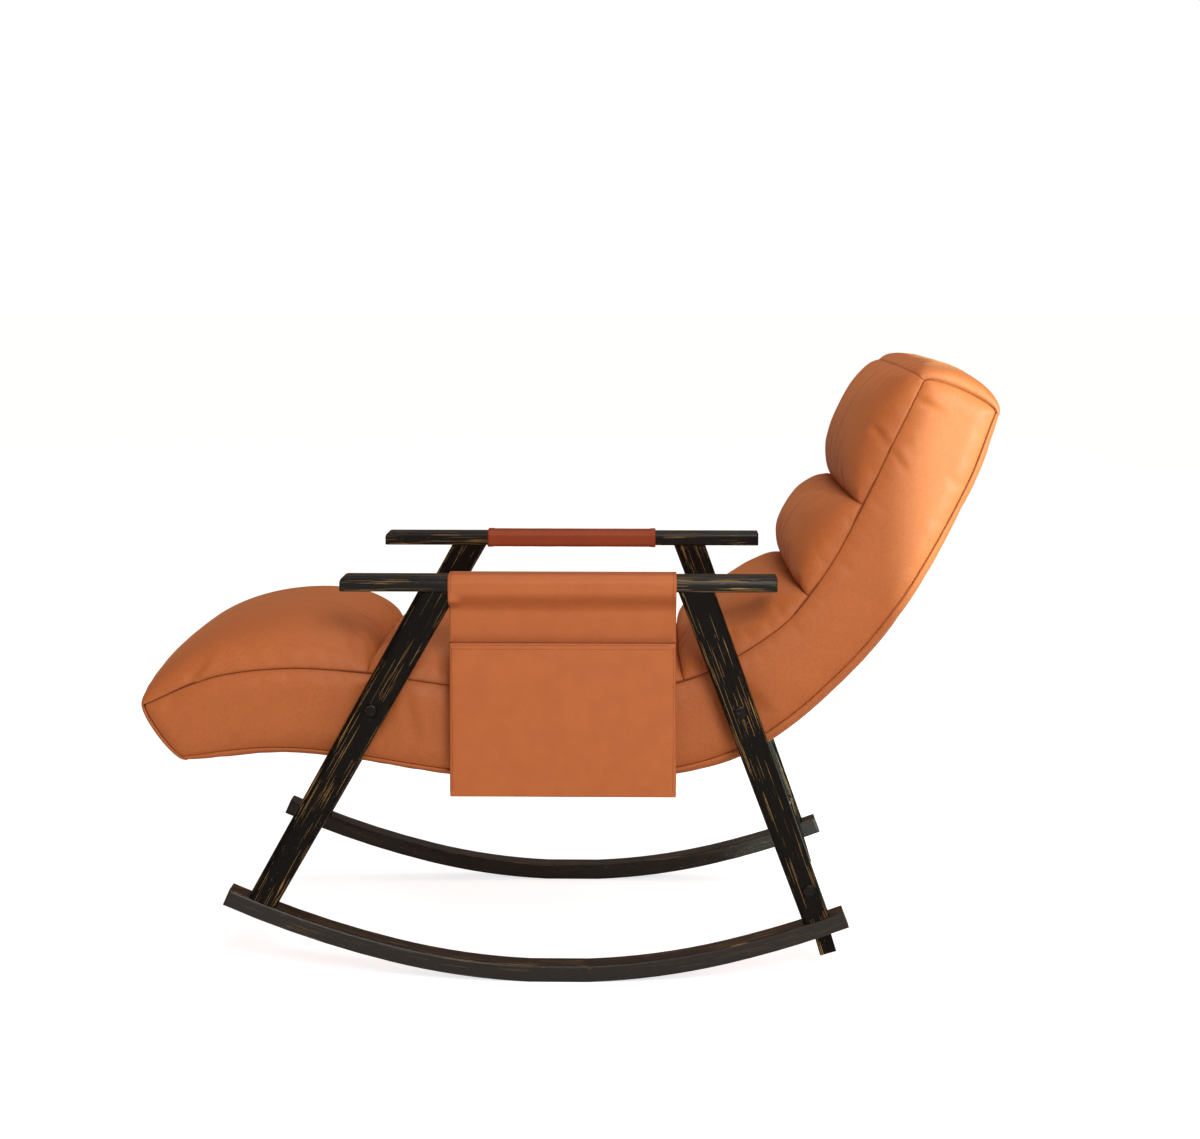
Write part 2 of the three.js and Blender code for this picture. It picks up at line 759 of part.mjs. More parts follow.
for (const { name, sign } of sides) {
  boltPlaces.forEach(([x, z], index) => {
    const place = `${index === 0 ? 'front' : 'rear'}_${name}`;
    const bolt = turnedAcross(boltProfile(railInner), x, z, sign, headSeat);
    addPiece(`seat_bolt_${place}`, bolt, steel);
    const cap = turnedAcross(capProfile(), x, z, sign, legOutside - capDepth);
    addPiece(`bolt_cap_${place}`, cap, blackWood);
    const [low, high] = stretch(sign, bodyWidth / 2 + touchGap, legInside - touchGap);
    const spacer = cut(
      barAcross(spacerRadius, x, z, low, high),
      barAcross(boltRadius + touchGap, x, z, low - cutOverrunLength, high + cutOverrunLength),
    );
    addPiece(`spacer_${place}`, spacer, steel);
  });
}

// Stop bars

const stopBarOutside = legInside - touchGap;
const stopBarInside = stopBarOutside - stopBarThickness;

function stopBarOutline() {
  const half = stopBarWidth / 2;
  const tilt = THREE.MathUtils.degToRad(stopBarTilt);
  const outline = [[half, -stopBarLength]];
  for (let step = 0; step <= stopBarEndSteps; step += 1) {
    const angle = Math.PI * step / stopBarEndSteps;
    outline.push([half * Math.cos(angle), half * Math.sin(angle)]);
  }
  outline.push([-half, -stopBarLength]);
  return outline.map(([x, z]) => [
    stopPivot[0] + x * Math.cos(tilt) - z * Math.sin(tilt),
    stopPivot[1] + x * Math.sin(tilt) + z * Math.cos(tilt),
  ]);
}

for (const { name, sign } of sides) {
  const [x, z] = stopPivot;
  const [low, high] = stretch(sign, stopBarInside, stopBarOutside);
  const bar = cut(
    acrossExtrude(stopBarOutline(), low, high, stopBarEdgeRadius),
    barAcross(boltRadius + touchGap, x, z, low - cutOverrunLength, high + cutOverrunLength),
  );
  addPiece(`stop_bar_${name}`, bar, blackWood);
  const nutSeat = stopBarInside - touchGap;
  const bolt = turnedAcross(boltProfile(nutSeat - nutHeight), x, z, sign, headSeat);
  addPiece(`stop_bolt_${name}`, bolt, steel);
  const cap = turnedAcross(capProfile(), x, z, sign, legOutside - capDepth);
  addPiece(`stop_cap_${name}`, cap, blackWood);
  const hollow = (boltRadius + touchGap) / Math.cos(Math.PI / nutSides);
  const nut = [
    [0, nutHeight + touchGap], [hollow, nutHeight + touchGap], [hollow, 0], [nutRadius, 0],
    ...nutDomeShares.map(([out, up]) => [out * nutRadius, nutHeight + up * nutDomeHeight]),
  ];
  addPiece(`stop_nut_${name}`, turnedAcross(nut, x, z, -sign, -nutSeat, nutSides), steel);
}

// Sleeve on the right arm

const sleeve = alongExtrude(
  armSection(1, touchGap + sleeveThickness),
  -sleeveLength / 2, sleeveLength / 2,
  armSection(1, touchGap),
);
addPiece('arm_sleeve', sleeve, leather);

// Storage bag on the left arm

const bagFront = bagOffsetDistance - bagLength / 2;
const bagRear = bagOffsetDistance + bagLength / 2;
const bagMiddle = -frameSpacing / 2;
const hingeHeight = armUndersideHeight - strapDropHeight - hingeRadius - touchGap;

// The strap wraps the arm and its two sides meet below, above the pocket.
function strapSection(grow, meetHeight, meetHalf) {
  const lowest = armUndersideHeight + 2 * armLowerRadius;
  const upperPart = armSection(-1, grow).filter(([, z]) => z > lowest);
  const outer = bagMiddle - armWidth / 2 - grow;
  const inner = bagMiddle + armWidth / 2 + grow;
  return [
    [outer, armUndersideHeight], [bagMiddle - meetHalf, meetHeight],
    [bagMiddle + meetHalf, meetHeight], [inner, armUndersideHeight], ...upperPart,
  ];
}

const meetHeight = armUndersideHeight - strapDropHeight;
const strap = alongExtrude(
  strapSection(touchGap + strapThickness, meetHeight, strapThickness),
  bagFront, bagRear,
  strapSection(touchGap, meetHeight + 2 * strapThickness, touchGap),
);
// Below the arm the strap is notched round the top of the front leg.
const frontLegRoom = acrossExtrude(
  legOutline(legs[0], touchGap),
  bagMiddle - frameWidth / 2 - touchGap, bagMiddle + frameWidth / 2 + touchGap,
);
addPiece('bag_strap', cut(strap, frontLegRoom), leather);

// The pocket: a flat pouch, open at the top, whose back goes on up to the strap.
function pocketGeometry() {
  const outerFace = bagMiddle - pocketDepth / 2;
  const innerFace = bagMiddle + pocketDepth / 2;
  const corners = [pocketCornerRadius, pocketCornerRadius, 0, 0];
  const blank = acrossExtrude(
    roundedRectangle(
      bagFront, bagRear, pocketBottomHeight, pocketTopHeight + cutOverrunLength, corners,
    ),
    outerFace, innerFace, pocketEdgeRadius,
  );
  const aboveMouth = boxBetween(
    [bagFront - cutOverrunLength, outerFace - cutOverrunLength, pocketTopHeight],
    [
      bagRear + cutOverrunLength, innerFace + cutOverrunLength,
      pocketTopHeight + 2 * cutOverrunLength,
    ],
  );
  const inside = acrossExtrude(
    roundedRectangle(
      bagFront + pocketWallThickness, bagRear - pocketWallThickness,
      pocketBottomHeight + pocketWallThickness, pocketTopHeight + cutOverrunLength,
      corners.map((radius) => Math.max(radius - pocketWallThickness, 0)),
    ),
    outerFace + pocketWallThickness, innerFace - pocketWallThickness,
    pocketEdgeRadius - pocketWallThickness,
  );
  const pouch = cut(blank, aboveMouth, inside);
  const roundEnd = Array.from({ length: hingeSteps + 1 }, (_, step) => {
    const angle = Math.PI * step / hingeSteps;
    return [bagMiddle + hingeRadius * Math.cos(angle), hingeHeight + hingeRadius * Math.sin(angle)];
  });
  const tabFoot = pocketTopHeight - pocketWallThickness;
  const tab = alongExtrude(
    [[innerFace, tabFoot], ...roundEnd, [innerFace - pocketWallThickness, tabFoot]],
    bagFront, bagRear,
  );
  return join(pouch, tab);
}

addPiece('bag_pocket', pocketGeometry(), leather);

// The chair stands on the floor, with the middle of its box at the origin
const box = new THREE.Box3().setFromObject(chair);
const standing = new THREE.Group();
standing.add(chair);
chair.position.set(-(box.min.x + box.max.x) / 2, -(box.min.y + box.max.y) / 2, -box.min.z);

export default standing;
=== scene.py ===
# A rocking lounge chair: black stained wood side frames round a long padded body in orange
# microfibre, with a leather bag on the left arm and a leather sleeve on the right one.
# Lengths in the dictionaries are millimetres, measured from the middle of the arms as the
# part's source does; every Blender object is in metres.
import math

import bmesh
import bpy
import numpy as np
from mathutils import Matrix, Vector, noise


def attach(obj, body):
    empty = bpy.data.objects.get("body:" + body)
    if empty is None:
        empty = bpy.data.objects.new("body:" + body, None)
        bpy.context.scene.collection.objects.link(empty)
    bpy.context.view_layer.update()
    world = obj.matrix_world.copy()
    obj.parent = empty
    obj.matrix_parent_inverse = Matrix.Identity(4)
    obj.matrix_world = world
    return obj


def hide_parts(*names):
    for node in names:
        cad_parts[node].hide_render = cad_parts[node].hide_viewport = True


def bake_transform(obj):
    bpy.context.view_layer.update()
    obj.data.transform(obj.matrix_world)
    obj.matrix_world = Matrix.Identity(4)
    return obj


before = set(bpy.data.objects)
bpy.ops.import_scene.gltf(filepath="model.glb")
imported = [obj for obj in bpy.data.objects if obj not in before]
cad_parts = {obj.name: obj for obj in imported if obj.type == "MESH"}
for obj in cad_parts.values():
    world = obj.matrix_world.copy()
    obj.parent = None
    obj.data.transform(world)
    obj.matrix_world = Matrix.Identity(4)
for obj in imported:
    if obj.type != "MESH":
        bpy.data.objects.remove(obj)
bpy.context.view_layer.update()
scene = bpy.context.scene
scene.view_settings.view_transform = "Standard"
mm = 0.001
partOffset = np.array([-7.954, 0, -0.929])   # from the middle of the arms to the part's frame
print("stage: frame loaded,", len(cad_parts), "nodes")


# Camera, floor and light

# The camera of the photograph, solved from the arms and the runners.
cameraSettings = {
    "place": (0.12341, -3.6227, 1.0389),
    "turn": (82.749, 0, 1.220),     # degrees
    "lens": 69.0, "sensor": 36.0, "reach": 200,
}


def addObject(name, data):
    made = bpy.data.objects.new(name, data)
    scene.collection.objects.link(made)
    return made


def addCamera():
    values = cameraSettings
    data = bpy.data.cameras.new("photoCamera")
    data.lens, data.sensor_width, data.clip_end = values["lens"], values["sensor"], values["reach"]
    data.sensor_fit = "HORIZONTAL"
    camera = addObject("photoCamera", data)
    camera.location = values["place"]
    camera.rotation_euler = [math.radians(angle) for angle in values["turn"]]
    scene.camera = camera


def linear(hexColour):
    channels = [int(hexColour[i:i + 2], 16) / 255 for i in (1, 3, 5)]
    return tuple(c / 12.92 if c <= 0.04045 else ((c + 0.055) / 1.055) ** 2.4
                 for c in channels) + (1,)


def setInputs(tree, node, inputs):
    for key, value in inputs.items():
        if isinstance(value, bpy.types.NodeSocket):
            tree.links.new(value, node.inputs[key])
        else:
            node.inputs[key].default_value = value


def addNode(tree, kind, inputs=None, **settings):
    made = tree.nodes.new("ShaderNode" + kind)
    for key, value in settings.items():
        setattr(made, key, value)
    setInputs(tree, made, inputs or {})
    return made


def emptyTree(owner):
    owner.use_nodes = True
    owner.node_tree.nodes.clear()
    return owner.node_tree


lightSettings = {
    "lamps": [      # places in metres, power in watts
        {"name": "key", "place": (1.0, -4.4, 2.8), "aim": (0, 0, 0.5), "size": 1.6, "power": 143},
        {"name": "top", "place": (0.5, 0.2, 3.2), "aim": (0.1, 0, 0.5), "size": 2.4, "power": 24},
        {"name": "side", "place": (3.0, -1.5, 0.8), "aim": (0.3, -0.3, 0.4), "size": 0.5,
         "power": 6},
        # a shaded spot from the right that catches the side of the backrest
        {"name": "spot", "place": (2.3, -2.6, 0.85), "aim": (1.553, -0.27, 0.72), "size": 0.03,
         "power": 850, "cone": 40, "blend": 0.045, "colour": "#d2eeea"},
    ],
    "lampColour": "#fffaf2", "roomColour": "#ffe6d6",
    "room": 0.4,                    # brightness that the room sends on to matt surfaces
    "shine": 0.16,                  # and into reflections
    "floorDiffuse": 0.8, "floorGlow": 0.77, "floorTint": (0.95, 0.97, 1, 1),
    "floorReach": 60,
}


def addLamp(values):
    name = values["name"] + "Light"
    data = bpy.data.lights.new(name, "SPOT" if "cone" in values else "AREA")
    if "cone" in values:
        data.spot_size, data.spot_blend = math.radians(values["cone"]), values["blend"]
        data.shadow_soft_size = values["size"]
    else:
        data.shape, data.size = "SQUARE", values["size"]
    data.energy = values["power"]
    data.color = linear(values.get("colour", lightSettings["lampColour"]))[:3]
    lamp = addObject(name, data)
    lamp.location = values["place"]
    aim = Vector(values["aim"]) - Vector(values["place"])
    lamp.rotation_euler = aim.to_track_quat("-Z", "Y").to_euler()
    lamp.visible_camera = False


def addRoom():
    world = bpy.data.worlds.new("whiteRoom")
    scene.world = world
    tree = emptyTree(world)
    rays = addNode(tree, "LightPath")
    seen = rays.outputs["Is Camera Ray"]
    strength = addNode(tree, "Mix", {0: rays.outputs["Is Glossy Ray"], 2: lightSettings["room"],
                                     3: lightSettings["shine"]})
    strength = addNode(tree, "Mix", {0: seen, 2: strength.outputs[0], 3: 1.0})
    tint = addNode(tree, "Mix", {0: seen, 6: linear(lightSettings["roomColour"]),
                                 7: (1, 1, 1, 1)}, data_type="RGBA")
    glow = addNode(tree, "Background", {"Color": tint.outputs[2],
                                        "Strength": strength.outputs[0]})
    addNode(tree, "OutputWorld", {"Surface": glow.outputs[0]})


def addFloor():
    mesh = bpy.data.meshes.new("floor")
    reach = lightSettings["floorReach"]
    mesh.from_pydata([(-reach, -reach, 0), (reach, -reach, 0), (reach, reach, 0),
                      (-reach, reach, 0)], [], [(0, 1, 2, 3)])
    floor = addObject("floor", mesh)
    material = bpy.data.materials.new("whiteStudioFloor")   # matt paper, keeps a soft shadow
    tree = emptyTree(material)
    rays = addNode(tree, "LightPath")
    paper = addNode(tree, "BsdfDiffuse", {"Color": (lightSettings["floorDiffuse"],) * 3 + (1,)})
    lift = addNode(tree, "Emission", {"Color": lightSettings["floorTint"],
                                      "Strength": lightSettings["floorGlow"]})
    lifted = addNode(tree, "AddShader", {0: paper.outputs[0], 1: lift.outputs[0]})
    mixed = addNode(tree, "MixShader", {0: rays.outputs["Is Camera Ray"], 1: paper.outputs[0],
                                        2: lifted.outputs[0]})
    addNode(tree, "OutputMaterial", {"Surface": mixed.outputs[0]})
    mesh.materials.append(material)


addCamera()
for lampValues in lightSettings["lamps"]:
    addLamp(lampValues)
addRoom()
addFloor()
print("stage: camera, light and floor")


# Materials

def newMaterial(name):
    material = bpy.data.materials.new(name)
    tree = emptyTree(material)
    shader = addNode(tree, "BsdfPrincipled")
    addNode(tree, "OutputMaterial", {"Surface": shader.outputs[0]})
    return material, tree, shader, addNode(tree, "TexCoord").outputs["Object"]


# The noises of a material: the size of the spots in millimetres, the same all ways or along each
# of x, y and z, then detail and roughness.
def addFields(tree, place, fields):
    made = {}
    for key, (size, detail, roughness) in fields.items():
        vector = place
        if isinstance(size, tuple):
            scale = [1 / length for length in size]
            vector = addNode(tree, "Mapping", {"Vector": place, "Scale": scale}).outputs[0]
            size = 1
        made[key] = addNode(tree, "TexNoise", {
            "Vector": vector, "Scale": 1 / (size * mm), "Detail": detail, "Roughness": roughness,
        }).outputs["Fac"]
    return made


# Lays a colour over another where every noise lies between its two heights, thinned by factors.
def layOver(tree, colour, over, cuts, factors=()):
    shares = [addNode(tree, "MapRange", {"Value": field, "From Min": low, "From Max": high},
                      interpolation_type="SMOOTHSTEP").outputs[0] for field, low, high in cuts]
    share, *others = [*shares, *factors]
    for other in others:
        share = addNode(tree, "Math", {0: share, 1: other}, operation="MULTIPLY").outputs[0]
    return addNode(tree, "Mix", {0: share, 6: colour, 7: linear(over)},
                   data_type="RGBA").outputs[2]


# The noises of a material, and its ground colour with the layers over it.
def layColours(tree, place, values):
    fields = addFields(tree, place, values["fields"])
    colour = linear(values["ground"])
    for key, low, high, name in values["layers"]:
        colour = layOver(tree, colour, values[name], [(fields[key], low, high)])
    return fields, colour


# Sets the shader's inputs, and its bumps, which are a height, its depth in millimetres and its
# strength.
def finishShader(tree, shader, inputs, bumps, normal=None):
    for height, depth, strength in bumps:
        below = {} if normal is None else {"Normal": normal}
        normal = addNode(tree, "Bump", {"Height": height, "Distance": depth * mm,
                                        "Strength": strength} | below).outputs[0]
    setInputs(tree, shader, inputs | {"Normal": normal})


napSettings = {
    "ground": "#b36433", "warm": "#b76735", "light": "#b96937", "shaded": "#ab5e31",
    "groove": "#8a4521", "sheenColour": "#ffb377",
    "fields": {     # size in mm, detail, roughness
        "mottle": (55, 3.0, 0.5), "patches": (9, 3.0, 0.6), "grain": (0.9, 2.0, 0.5),
        "creases": (26, 4.0, 0.55), "fibres": (3.5, 3.0, 0.7),
    },
    "layers": [("mottle", 0.3, 0.72, "warm"), ("patches", 0.5, 0.8, "light"),
               ("fibres", 0.48, 0.7, "shaded")],
    "bumps": [("creases", 1.2, 0.1), ("patches", 0.3, 0.1), ("grain", 0.12, 0.3)],
    "roughness": 0.56, "shine": 0.36, "sheen": 0.2, "sheenRoughness": 0.4,
    "quiltDistance": 72,        # of the sewn lines along the rolls, from the chair's middle
    "quiltReach": (0, 5), "quiltDepth": 1.6, "quiltLine": (0.5, 1.6),
}


# Brushed microfibre: a short nap in a warm orange, mottled where the nap has been stroked, with a
# fine grain that breaks up the highlights and a soft sheen at glancing angles.
def napMaterial(name, quilted=False):
    values = napSettings
    material, tree, shader, place = newMaterial(name)
    fields, colour = layColours(tree, place, values)
    bumps = [(fields[key], depth, strength) for key, depth, strength in values["bumps"]]
    if quilted:
        away = addNode(tree, "SeparateXYZ", {0: place}).outputs[1]
        for operation, taken in (("ABSOLUTE", 0), ("SUBTRACT", values["quiltDistance"] * mm),
                                 ("ABSOLUTE", 0)):
            away = addNode(tree, "Math", {0: away, 1: taken}, operation=operation).outputs[0]
        groove, line = (
            addNode(tree, "MapRange", {"Value": away, "From Min": low * mm, "From Max": high * mm},
                    interpolation_type="SMOOTHSTEP").outputs[0]
            for low, high in (values["quiltReach"], values["quiltLine"]))
        bumps.append((groove, values["quiltDepth"], 0.8))
        colour = addNode(tree, "Mix", {0: line, 6: linear(values["groove"]), 7: colour},
                         data_type="RGBA").outputs[2]
    finishShader(tree, shader, {
        "Base Color": colour, "Roughness": values["roughness"],
        "Specular IOR Level": values["shine"], "IOR": 1.5,
        "Sheen Weight": values["sheen"], "Sheen Roughness": values["sheenRoughness"],
        "Sheen Tint": linear(values["sheenColour"]),
    }, bumps)
    return material


leatherSettings = {
    "fields": {"mottle": (38, 5.0, 0.6), "fine": (4, 3.0, 0.6), "worn": (2.6, 3.0, 0.7)},
    "layers": [("mottle", 0.32, 0.68, "colour"), ("fine", 0.55, 0.85, "light"),
               ("worn", 0.5, 0.72, "ground")],
    "pebbleSize": 1.3, "roughness": 0.52, "shine": 0.3,
}


# Thin saddle leather: a close pebble grain, slightly darker in cloudy patches.
def leatherMaterial(name, ground, colour, light):
    values = leatherSettings | {"ground": ground, "colour": colour, "light": light}
    material, tree, shader, place = newMaterial(name)
    fields, colour = layColours(tree, place, values)
    pebbles = addNode(tree, "TexVoronoi", {"Vector": place,
                                           "Scale": 1 / (values["pebbleSize"] * mm)})
    finishShader(tree, shader, {
        "Base Color": colour, "Roughness": values["roughness"], "IOR": 1.5,
        "Specular IOR Level": values["shine"],
    }, [(fields["mottle"], 1.2, 0.25), (pebbles.outputs["Distance"], 0.18, 0.4)])
    return material


woodSettings = {
    "ground": "#070605", "worn": "#110e0c", "gold": "#a5824c", "pale": "#857f76",
    "runnerGround": "#1b1917", "runnerWorn": "#2b2825",
    "fields": {
        "streaks": ((110, 1.05, 1.05), 1.0, 0.5), "patches": ((230, 13, 13), 2.0, 0.5),
        "pores": ((14, 0.8, 0.8), 3.0, 0.6),
    },
    "runnerRadius": 1133, "runnerMiddle": -7.95,
    "flankGold": 0.22,              # share of the streaks left on the runners' flanks
    "roughness": 0.36, "softEdge": 3.5,
}


# Places on a runner laid flat: x along its bow, y across, z away from the bow's centre.
def bowPlace(tree, place):
    radius, middle = woodSettings["runnerRadius"] * mm, woodSettings["runnerMiddle"] * mm
    parts = addNode(tree, "SeparateXYZ", {0: place}).outputs
    side = addNode(tree, "Math", {0: parts[0], 1: middle}, operation="SUBTRACT").outputs[0]
    drop = addNode(tree, "Math", {0: radius, 1: parts[2]}, operation="SUBTRACT").outputs[0]
    angle = addNode(tree, "Math", {0: side, 1: drop}, operation="ARCTAN2").outputs[0]
    along = addNode(tree, "Math", {0: angle, 1: radius}, operation="MULTIPLY").outputs[0]
    flat = addNode(tree, "CombineXYZ", {0: side, 1: drop}).outputs[0]
    away = addNode(tree, "VectorMath", {0: flat}, operation="LENGTH").outputs["Value"]
    return addNode(tree, "CombineXYZ", {0: along, 1: parts[1], 2: away}).outputs[0]


# Open-grained ash stained black: long fine pores, and thin gilded streaks where the pores were
# filled, lying along the piece. The grain place is x along, y and z across, in metres.
def woodMaterial(name, turn=0.0, bent=False, shine=0.32, gilding=1.0):
    values = woodSettings
    material, tree, shader, place = newMaterial(name)
    if bent:
        grain = bowPlace(tree, place)
    else:
        turned = (0, math.radians(turn), 0)
        grain = addNode(tree, "Mapping", {"Vector": place, "Rotation": turned}).outputs[0]
    fields = addFields(tree, grain, values["fields"])
    streaks, patches, pores = (fields[key] for key in ("streaks", "patches", "pores"))
    colour = layOver(tree, linear(values["runnerGround" if bent else "ground"]),
                     values["runnerWorn" if bent else "worn"], [(pores, 0.4, 0.75)])
    colour = layOver(tree, colour, values["pale"], [(pores, 0.66, 0.72), (patches, 0.4, 0.55)])
    factors = [gilding]
    if bent:        # the runners' flanks are plain, their top and bottom faces streaked
        facing = addNode(tree, "TexCoord").outputs["Normal"]
        level = addNode(tree, "SeparateXYZ", {0: facing}).outputs[2]
        level = addNode(tree, "Math", {0: level}, operation="ABSOLUTE").outputs[0]
        level = addNode(tree, "MapRange", {"Value": level, "From Min": 0.2, "From Max": 0.6,
                                           "To Min": values["flankGold"]}).outputs[0]
        factors = [level, gilding]
    colour = layOver(tree, colour, values["gold"],
                     [(streaks, 0.652, 0.666), (patches, 0.42, 0.48)], factors)
    soft = addNode(tree, "Bevel", {"Radius": values["softEdge"] * mm}, samples=4).outputs[0]
    finishShader(tree, shader, {
        "Base Color": colour, "Roughness": values["roughness"], "IOR": 1.5,
        "Specular IOR Level": shine,
    }, [(pores, 0.25, 0.4), (streaks, 0.3 * gilding, 0.3)], soft)
    return material


# Zinc-plated steel: bright, faintly cloudy, with fine turning marks.
def steelMaterial():
    material, tree, shader, place = newMaterial("zincPlatedSteel")
    fields = addFields(tree, place, {"clouds": (4, 3.0, 0.5), "marks": (0.6, 2.0, 0.5)})
    rough = addNode(tree, "MapRange", {"Value": fields["clouds"], "To Min": 0.22,
                                       "To Max": 0.42}).outputs[0]
    finishShader(tree, shader, {
        "Base Color": linear("#b9b9b6"), "Metallic": 1.0, "Roughness": rough,
    }, [(fields["marks"], 0.05, 0.2)])
    return material


# A matt material with one pattern, whose height picks between two colours and makes a bump.
def plainMaterial(name, pattern, colours, roughness, depth, strength, cut=None):
    material, tree, shader, place = newMaterial(name)
    height = pattern(tree, place)
    cuts, factors = ([(height, *cut)], []) if cut else ([], [height])
    colour = layOver(tree, linear(colours[0]), colours[1], cuts, factors)
    finishShader(tree, shader, {"Base Color": colour, "Roughness": roughness},
                 [(height, depth, strength)])
    return material


# Planed beech, left raw inside the cover: pale, with short darker flecks along the board.
def beechMaterial():
    return plainMaterial(
        "planedBeech", lambda tree, place: addFields(
            tree, place, {"flecks": ((6, 30, 1.5), 3.0, 0.5)})["flecks"],
        ("#cfae7b", "#a9824f"), 0.7, 0.2, 0.3, cut=(0.45, 0.75))


# Woven rubber webbing: a dark plain weave, its ribs across the strip.
def webbingMaterial():
    return plainMaterial(
        "wovenWebbing", lambda tree, place: addNode(
            tree, "TexWave", {"Vector": place, "Scale": 1 / (12 * mm)},
            bands_direction="Y").outputs["Fac"],
        ("#232325", "#3a3a3d"), 0.9, 0.4, 0.5)


# Cut polyurethane foam: cream, with an open cell about a millimetre wide.
def foamMaterial():
    return plainMaterial(
        "cutFoam", lambda tree, place: addNode(
            tree, "TexVoronoi", {"Vector": place, "Scale": 1 / (1.2 * mm)}).outputs["Distance"],
        ("#d9cfb2", "#efe7cf"), 0.95, 0.5, 0.5)


# Bonded thread sunk in the seams: red-brown, with its twist as a fine bump.
def threadMaterial(name, hexColour):
    return plainMaterial(
        name, lambda tree, place: addFields(tree, place, {"twist": (0.8, 2.0, 0.5)})["twist"],
        (hexColour, "#5c2412"), 0.75, 0.2, 0.5, cut=(0.45, 0.9))


napRoll = napMaterial("brushedMicrofibreQuilted", True)
napPlain = napMaterial("brushedMicrofibre")
saddleLeather = leatherMaterial("saddleLeather", "#b36336", "#b86838", "#bb6b3b")
# the sleeve's hide is redder, and darker partly as painted shade: the far arm lies in the near
# strap's shade
sleeveHideAndShade = leatherMaterial("shadedRedSaddleLeather", "#923e1c", "#98421f", "#9e4723")
# a dark line along the pouch's mouth
rimLeather = leatherMaterial("darkMouthLine", "#7d3a1d", "#8a4222", "#96492a")
# the upper seams' thread is dark red-brown: partly the thread's own colour, partly painted shade
# of the seams' valley
seamThreadAndShade = threadMaterial("seamThreadAndShade", "#783216")
endThread = threadMaterial("endThread", "#c4713d")
bagThread = threadMaterial("bagThread", "#8f4a26")


def dress(piece, material):
    if not piece.data.materials:
        piece.data.materials.append(material)
    for index in range(len(piece.material_slots)):
        piece.material_slots[index].material = material


# What the solids' names start with, and their material; the turns are the grain's, in degrees.
dressings = [
    (("runner",), woodMaterial("blackAshBent", bent=True, shine=0.46)),
    (("arm_left", "arm_right"), woodMaterial("blackAshArm")),
    (("front_leg",), woodMaterial("blackAshFrontLeg", 60.5, shine=0.14)),
    (("rear_leg",), woodMaterial("blackAshRearLeg", -69.9, shine=0.14)),
    (("stop_bar",), woodMaterial("blackAshBar", -73, shine=0.14)),
    (("bolt_cap", "stop_cap"), woodMaterial("blackAshPlug", 20, shine=0.22, gilding=0.12)),
    (("seat_bolt", "stop_bolt", "stop_nut", "spacer"), steelMaterial()),
    (("side_rail", "cross_board"), beechMaterial()),
    (("webbing",), webbingMaterial()),
    (("foam_layer",), foamMaterial()),
]
for node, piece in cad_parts.items():
    for starts, material in dressings:
        if node.startswith(starts):
            dress(piece, material)
print("stage: materials on the frame")


# The body's middle line

body = {
    "length": 1176, "rise": 507, "front": 592, "low": 360, "height": 122, "halfWidth": 262,
    "line": [
        (0, 0.014), (0.078, 0.067), (0.163, 0.083), (0.248, 0.067), (0.363, 0.028),
        (0.512, 0), (0.655, 0.039), (0.724, 0.103), (0.82, 0.27), (0.882, 0.45),
        (0.927, 0.635), (0.962, 0.803), (1, 1),
    ],
    "heights": [0.8, 0.95, 1, 1.03, 1.05, 1.05, 1.02, 1, 0.86, 0.92, 0.97, 1, 0.95],
    "blend": 60,                    # points of the line over which the heights blend
    "lean": 19, "leanLength": 100,  # degrees by which the foot's end leans, and over what length
    "headBulge": 11.5, "footBulge": 8,
    # the lower seam lies a little outside the middle line's half height along the backrest
    "lower": [(0, 0), (0.5, 0), (0.64, 4), (0.93, 4), (1, 0)],
}


def lengthsAlong(points, axis=0):
    return np.linalg.norm(np.diff(points, axis=axis), axis=-1)


def distances(lengths):
    return np.concatenate([[0], np.cumsum(lengths)])


# Centripetal spline through the points of the line, at raw shares of it.
def splineAt(points, raw):
    spot = np.clip(raw, 0, 1) * (len(points) - 1)
    first = np.minimum(spot.astype(int), len(points) - 2)
    part = (spot - first)[:, None]
    longer = np.vstack([2 * points[0] - points[1], points, 2 * points[-1] - points[-2]])
    a, b, c, d = (longer[first + step] for step in range(4))
    before, middle, after = (
        np.sqrt(np.linalg.norm(q - p, axis=1, keepdims=True)) for p, q in ((a, b), (b, c), (c, d))
    )
    leave = ((b - a) / before - (c - a) / (before + middle) + (c - b) / middle) * middle
    arrive = ((c - b) / middle - (d - b) / (middle + after) + (d - c) / after) * middle
    return (b + leave * part + (-3 * b + 3 * c - 2 * leave - arrive) * part ** 2
            + (2 * b - 2 * c + leave + arrive) * part ** 3)


def bodyTable():
    points = np.array([
        (along * body["length"] - body["front"], body["low"] + up * body["rise"])
        for along, up in body["line"]
    ])
    raw = np.linspace(0, 1, 2401)
    place = splineAt(points, raw)
    arc = distances(lengthsAlong(place))
    along = np.gradient(place, axis=0)
    along /= np.linalg.norm(along, axis=1, keepdims=True)
    out = np.stack([-along[:, 1], along[:, 0]], axis=1)
    lean = np.radians(np.maximum(1 - arc / body["leanLength"], 0) ** 2 * body["lean"])
    sine, cosine = np.sin(lean), np.cos(lean)
    out = np.stack([out[:, 0] * cosine - out[:, 1] * sine, out[:, 0] * sine + out[:, 1] * cosine],
                   axis=1)
    spots = np.linspace(0, 1, len(body["heights"]))
    half = np.interp(raw, spots, body["heights"]) * body["height"] / 2
    reach = body["blend"]
    kernel = np.hanning(2 * reach + 1)
    half = np.convolve(np.pad(half, reach, "edge"), kernel / kernel.sum(), "valid")
    return {"share": arc / arc[-1], "arc": arc[-1], "place": place, "out": out, "along": along,
            "half": half}


bodyLine = bodyTable()


# Place, way out, way ahead and half height at shares of the body's length; the first three have
# an x and a z.
def stationAt(share):
    place, out, along = (
        np.stack([np.interp(share, bodyLine["share"], bodyLine[key][:, axis]) for axis in (0, 1)],
                 axis=-1) for key in ("place", "out", "along"))
    return place, out, along, np.interp(share, bodyLine["share"], bodyLine["half"])


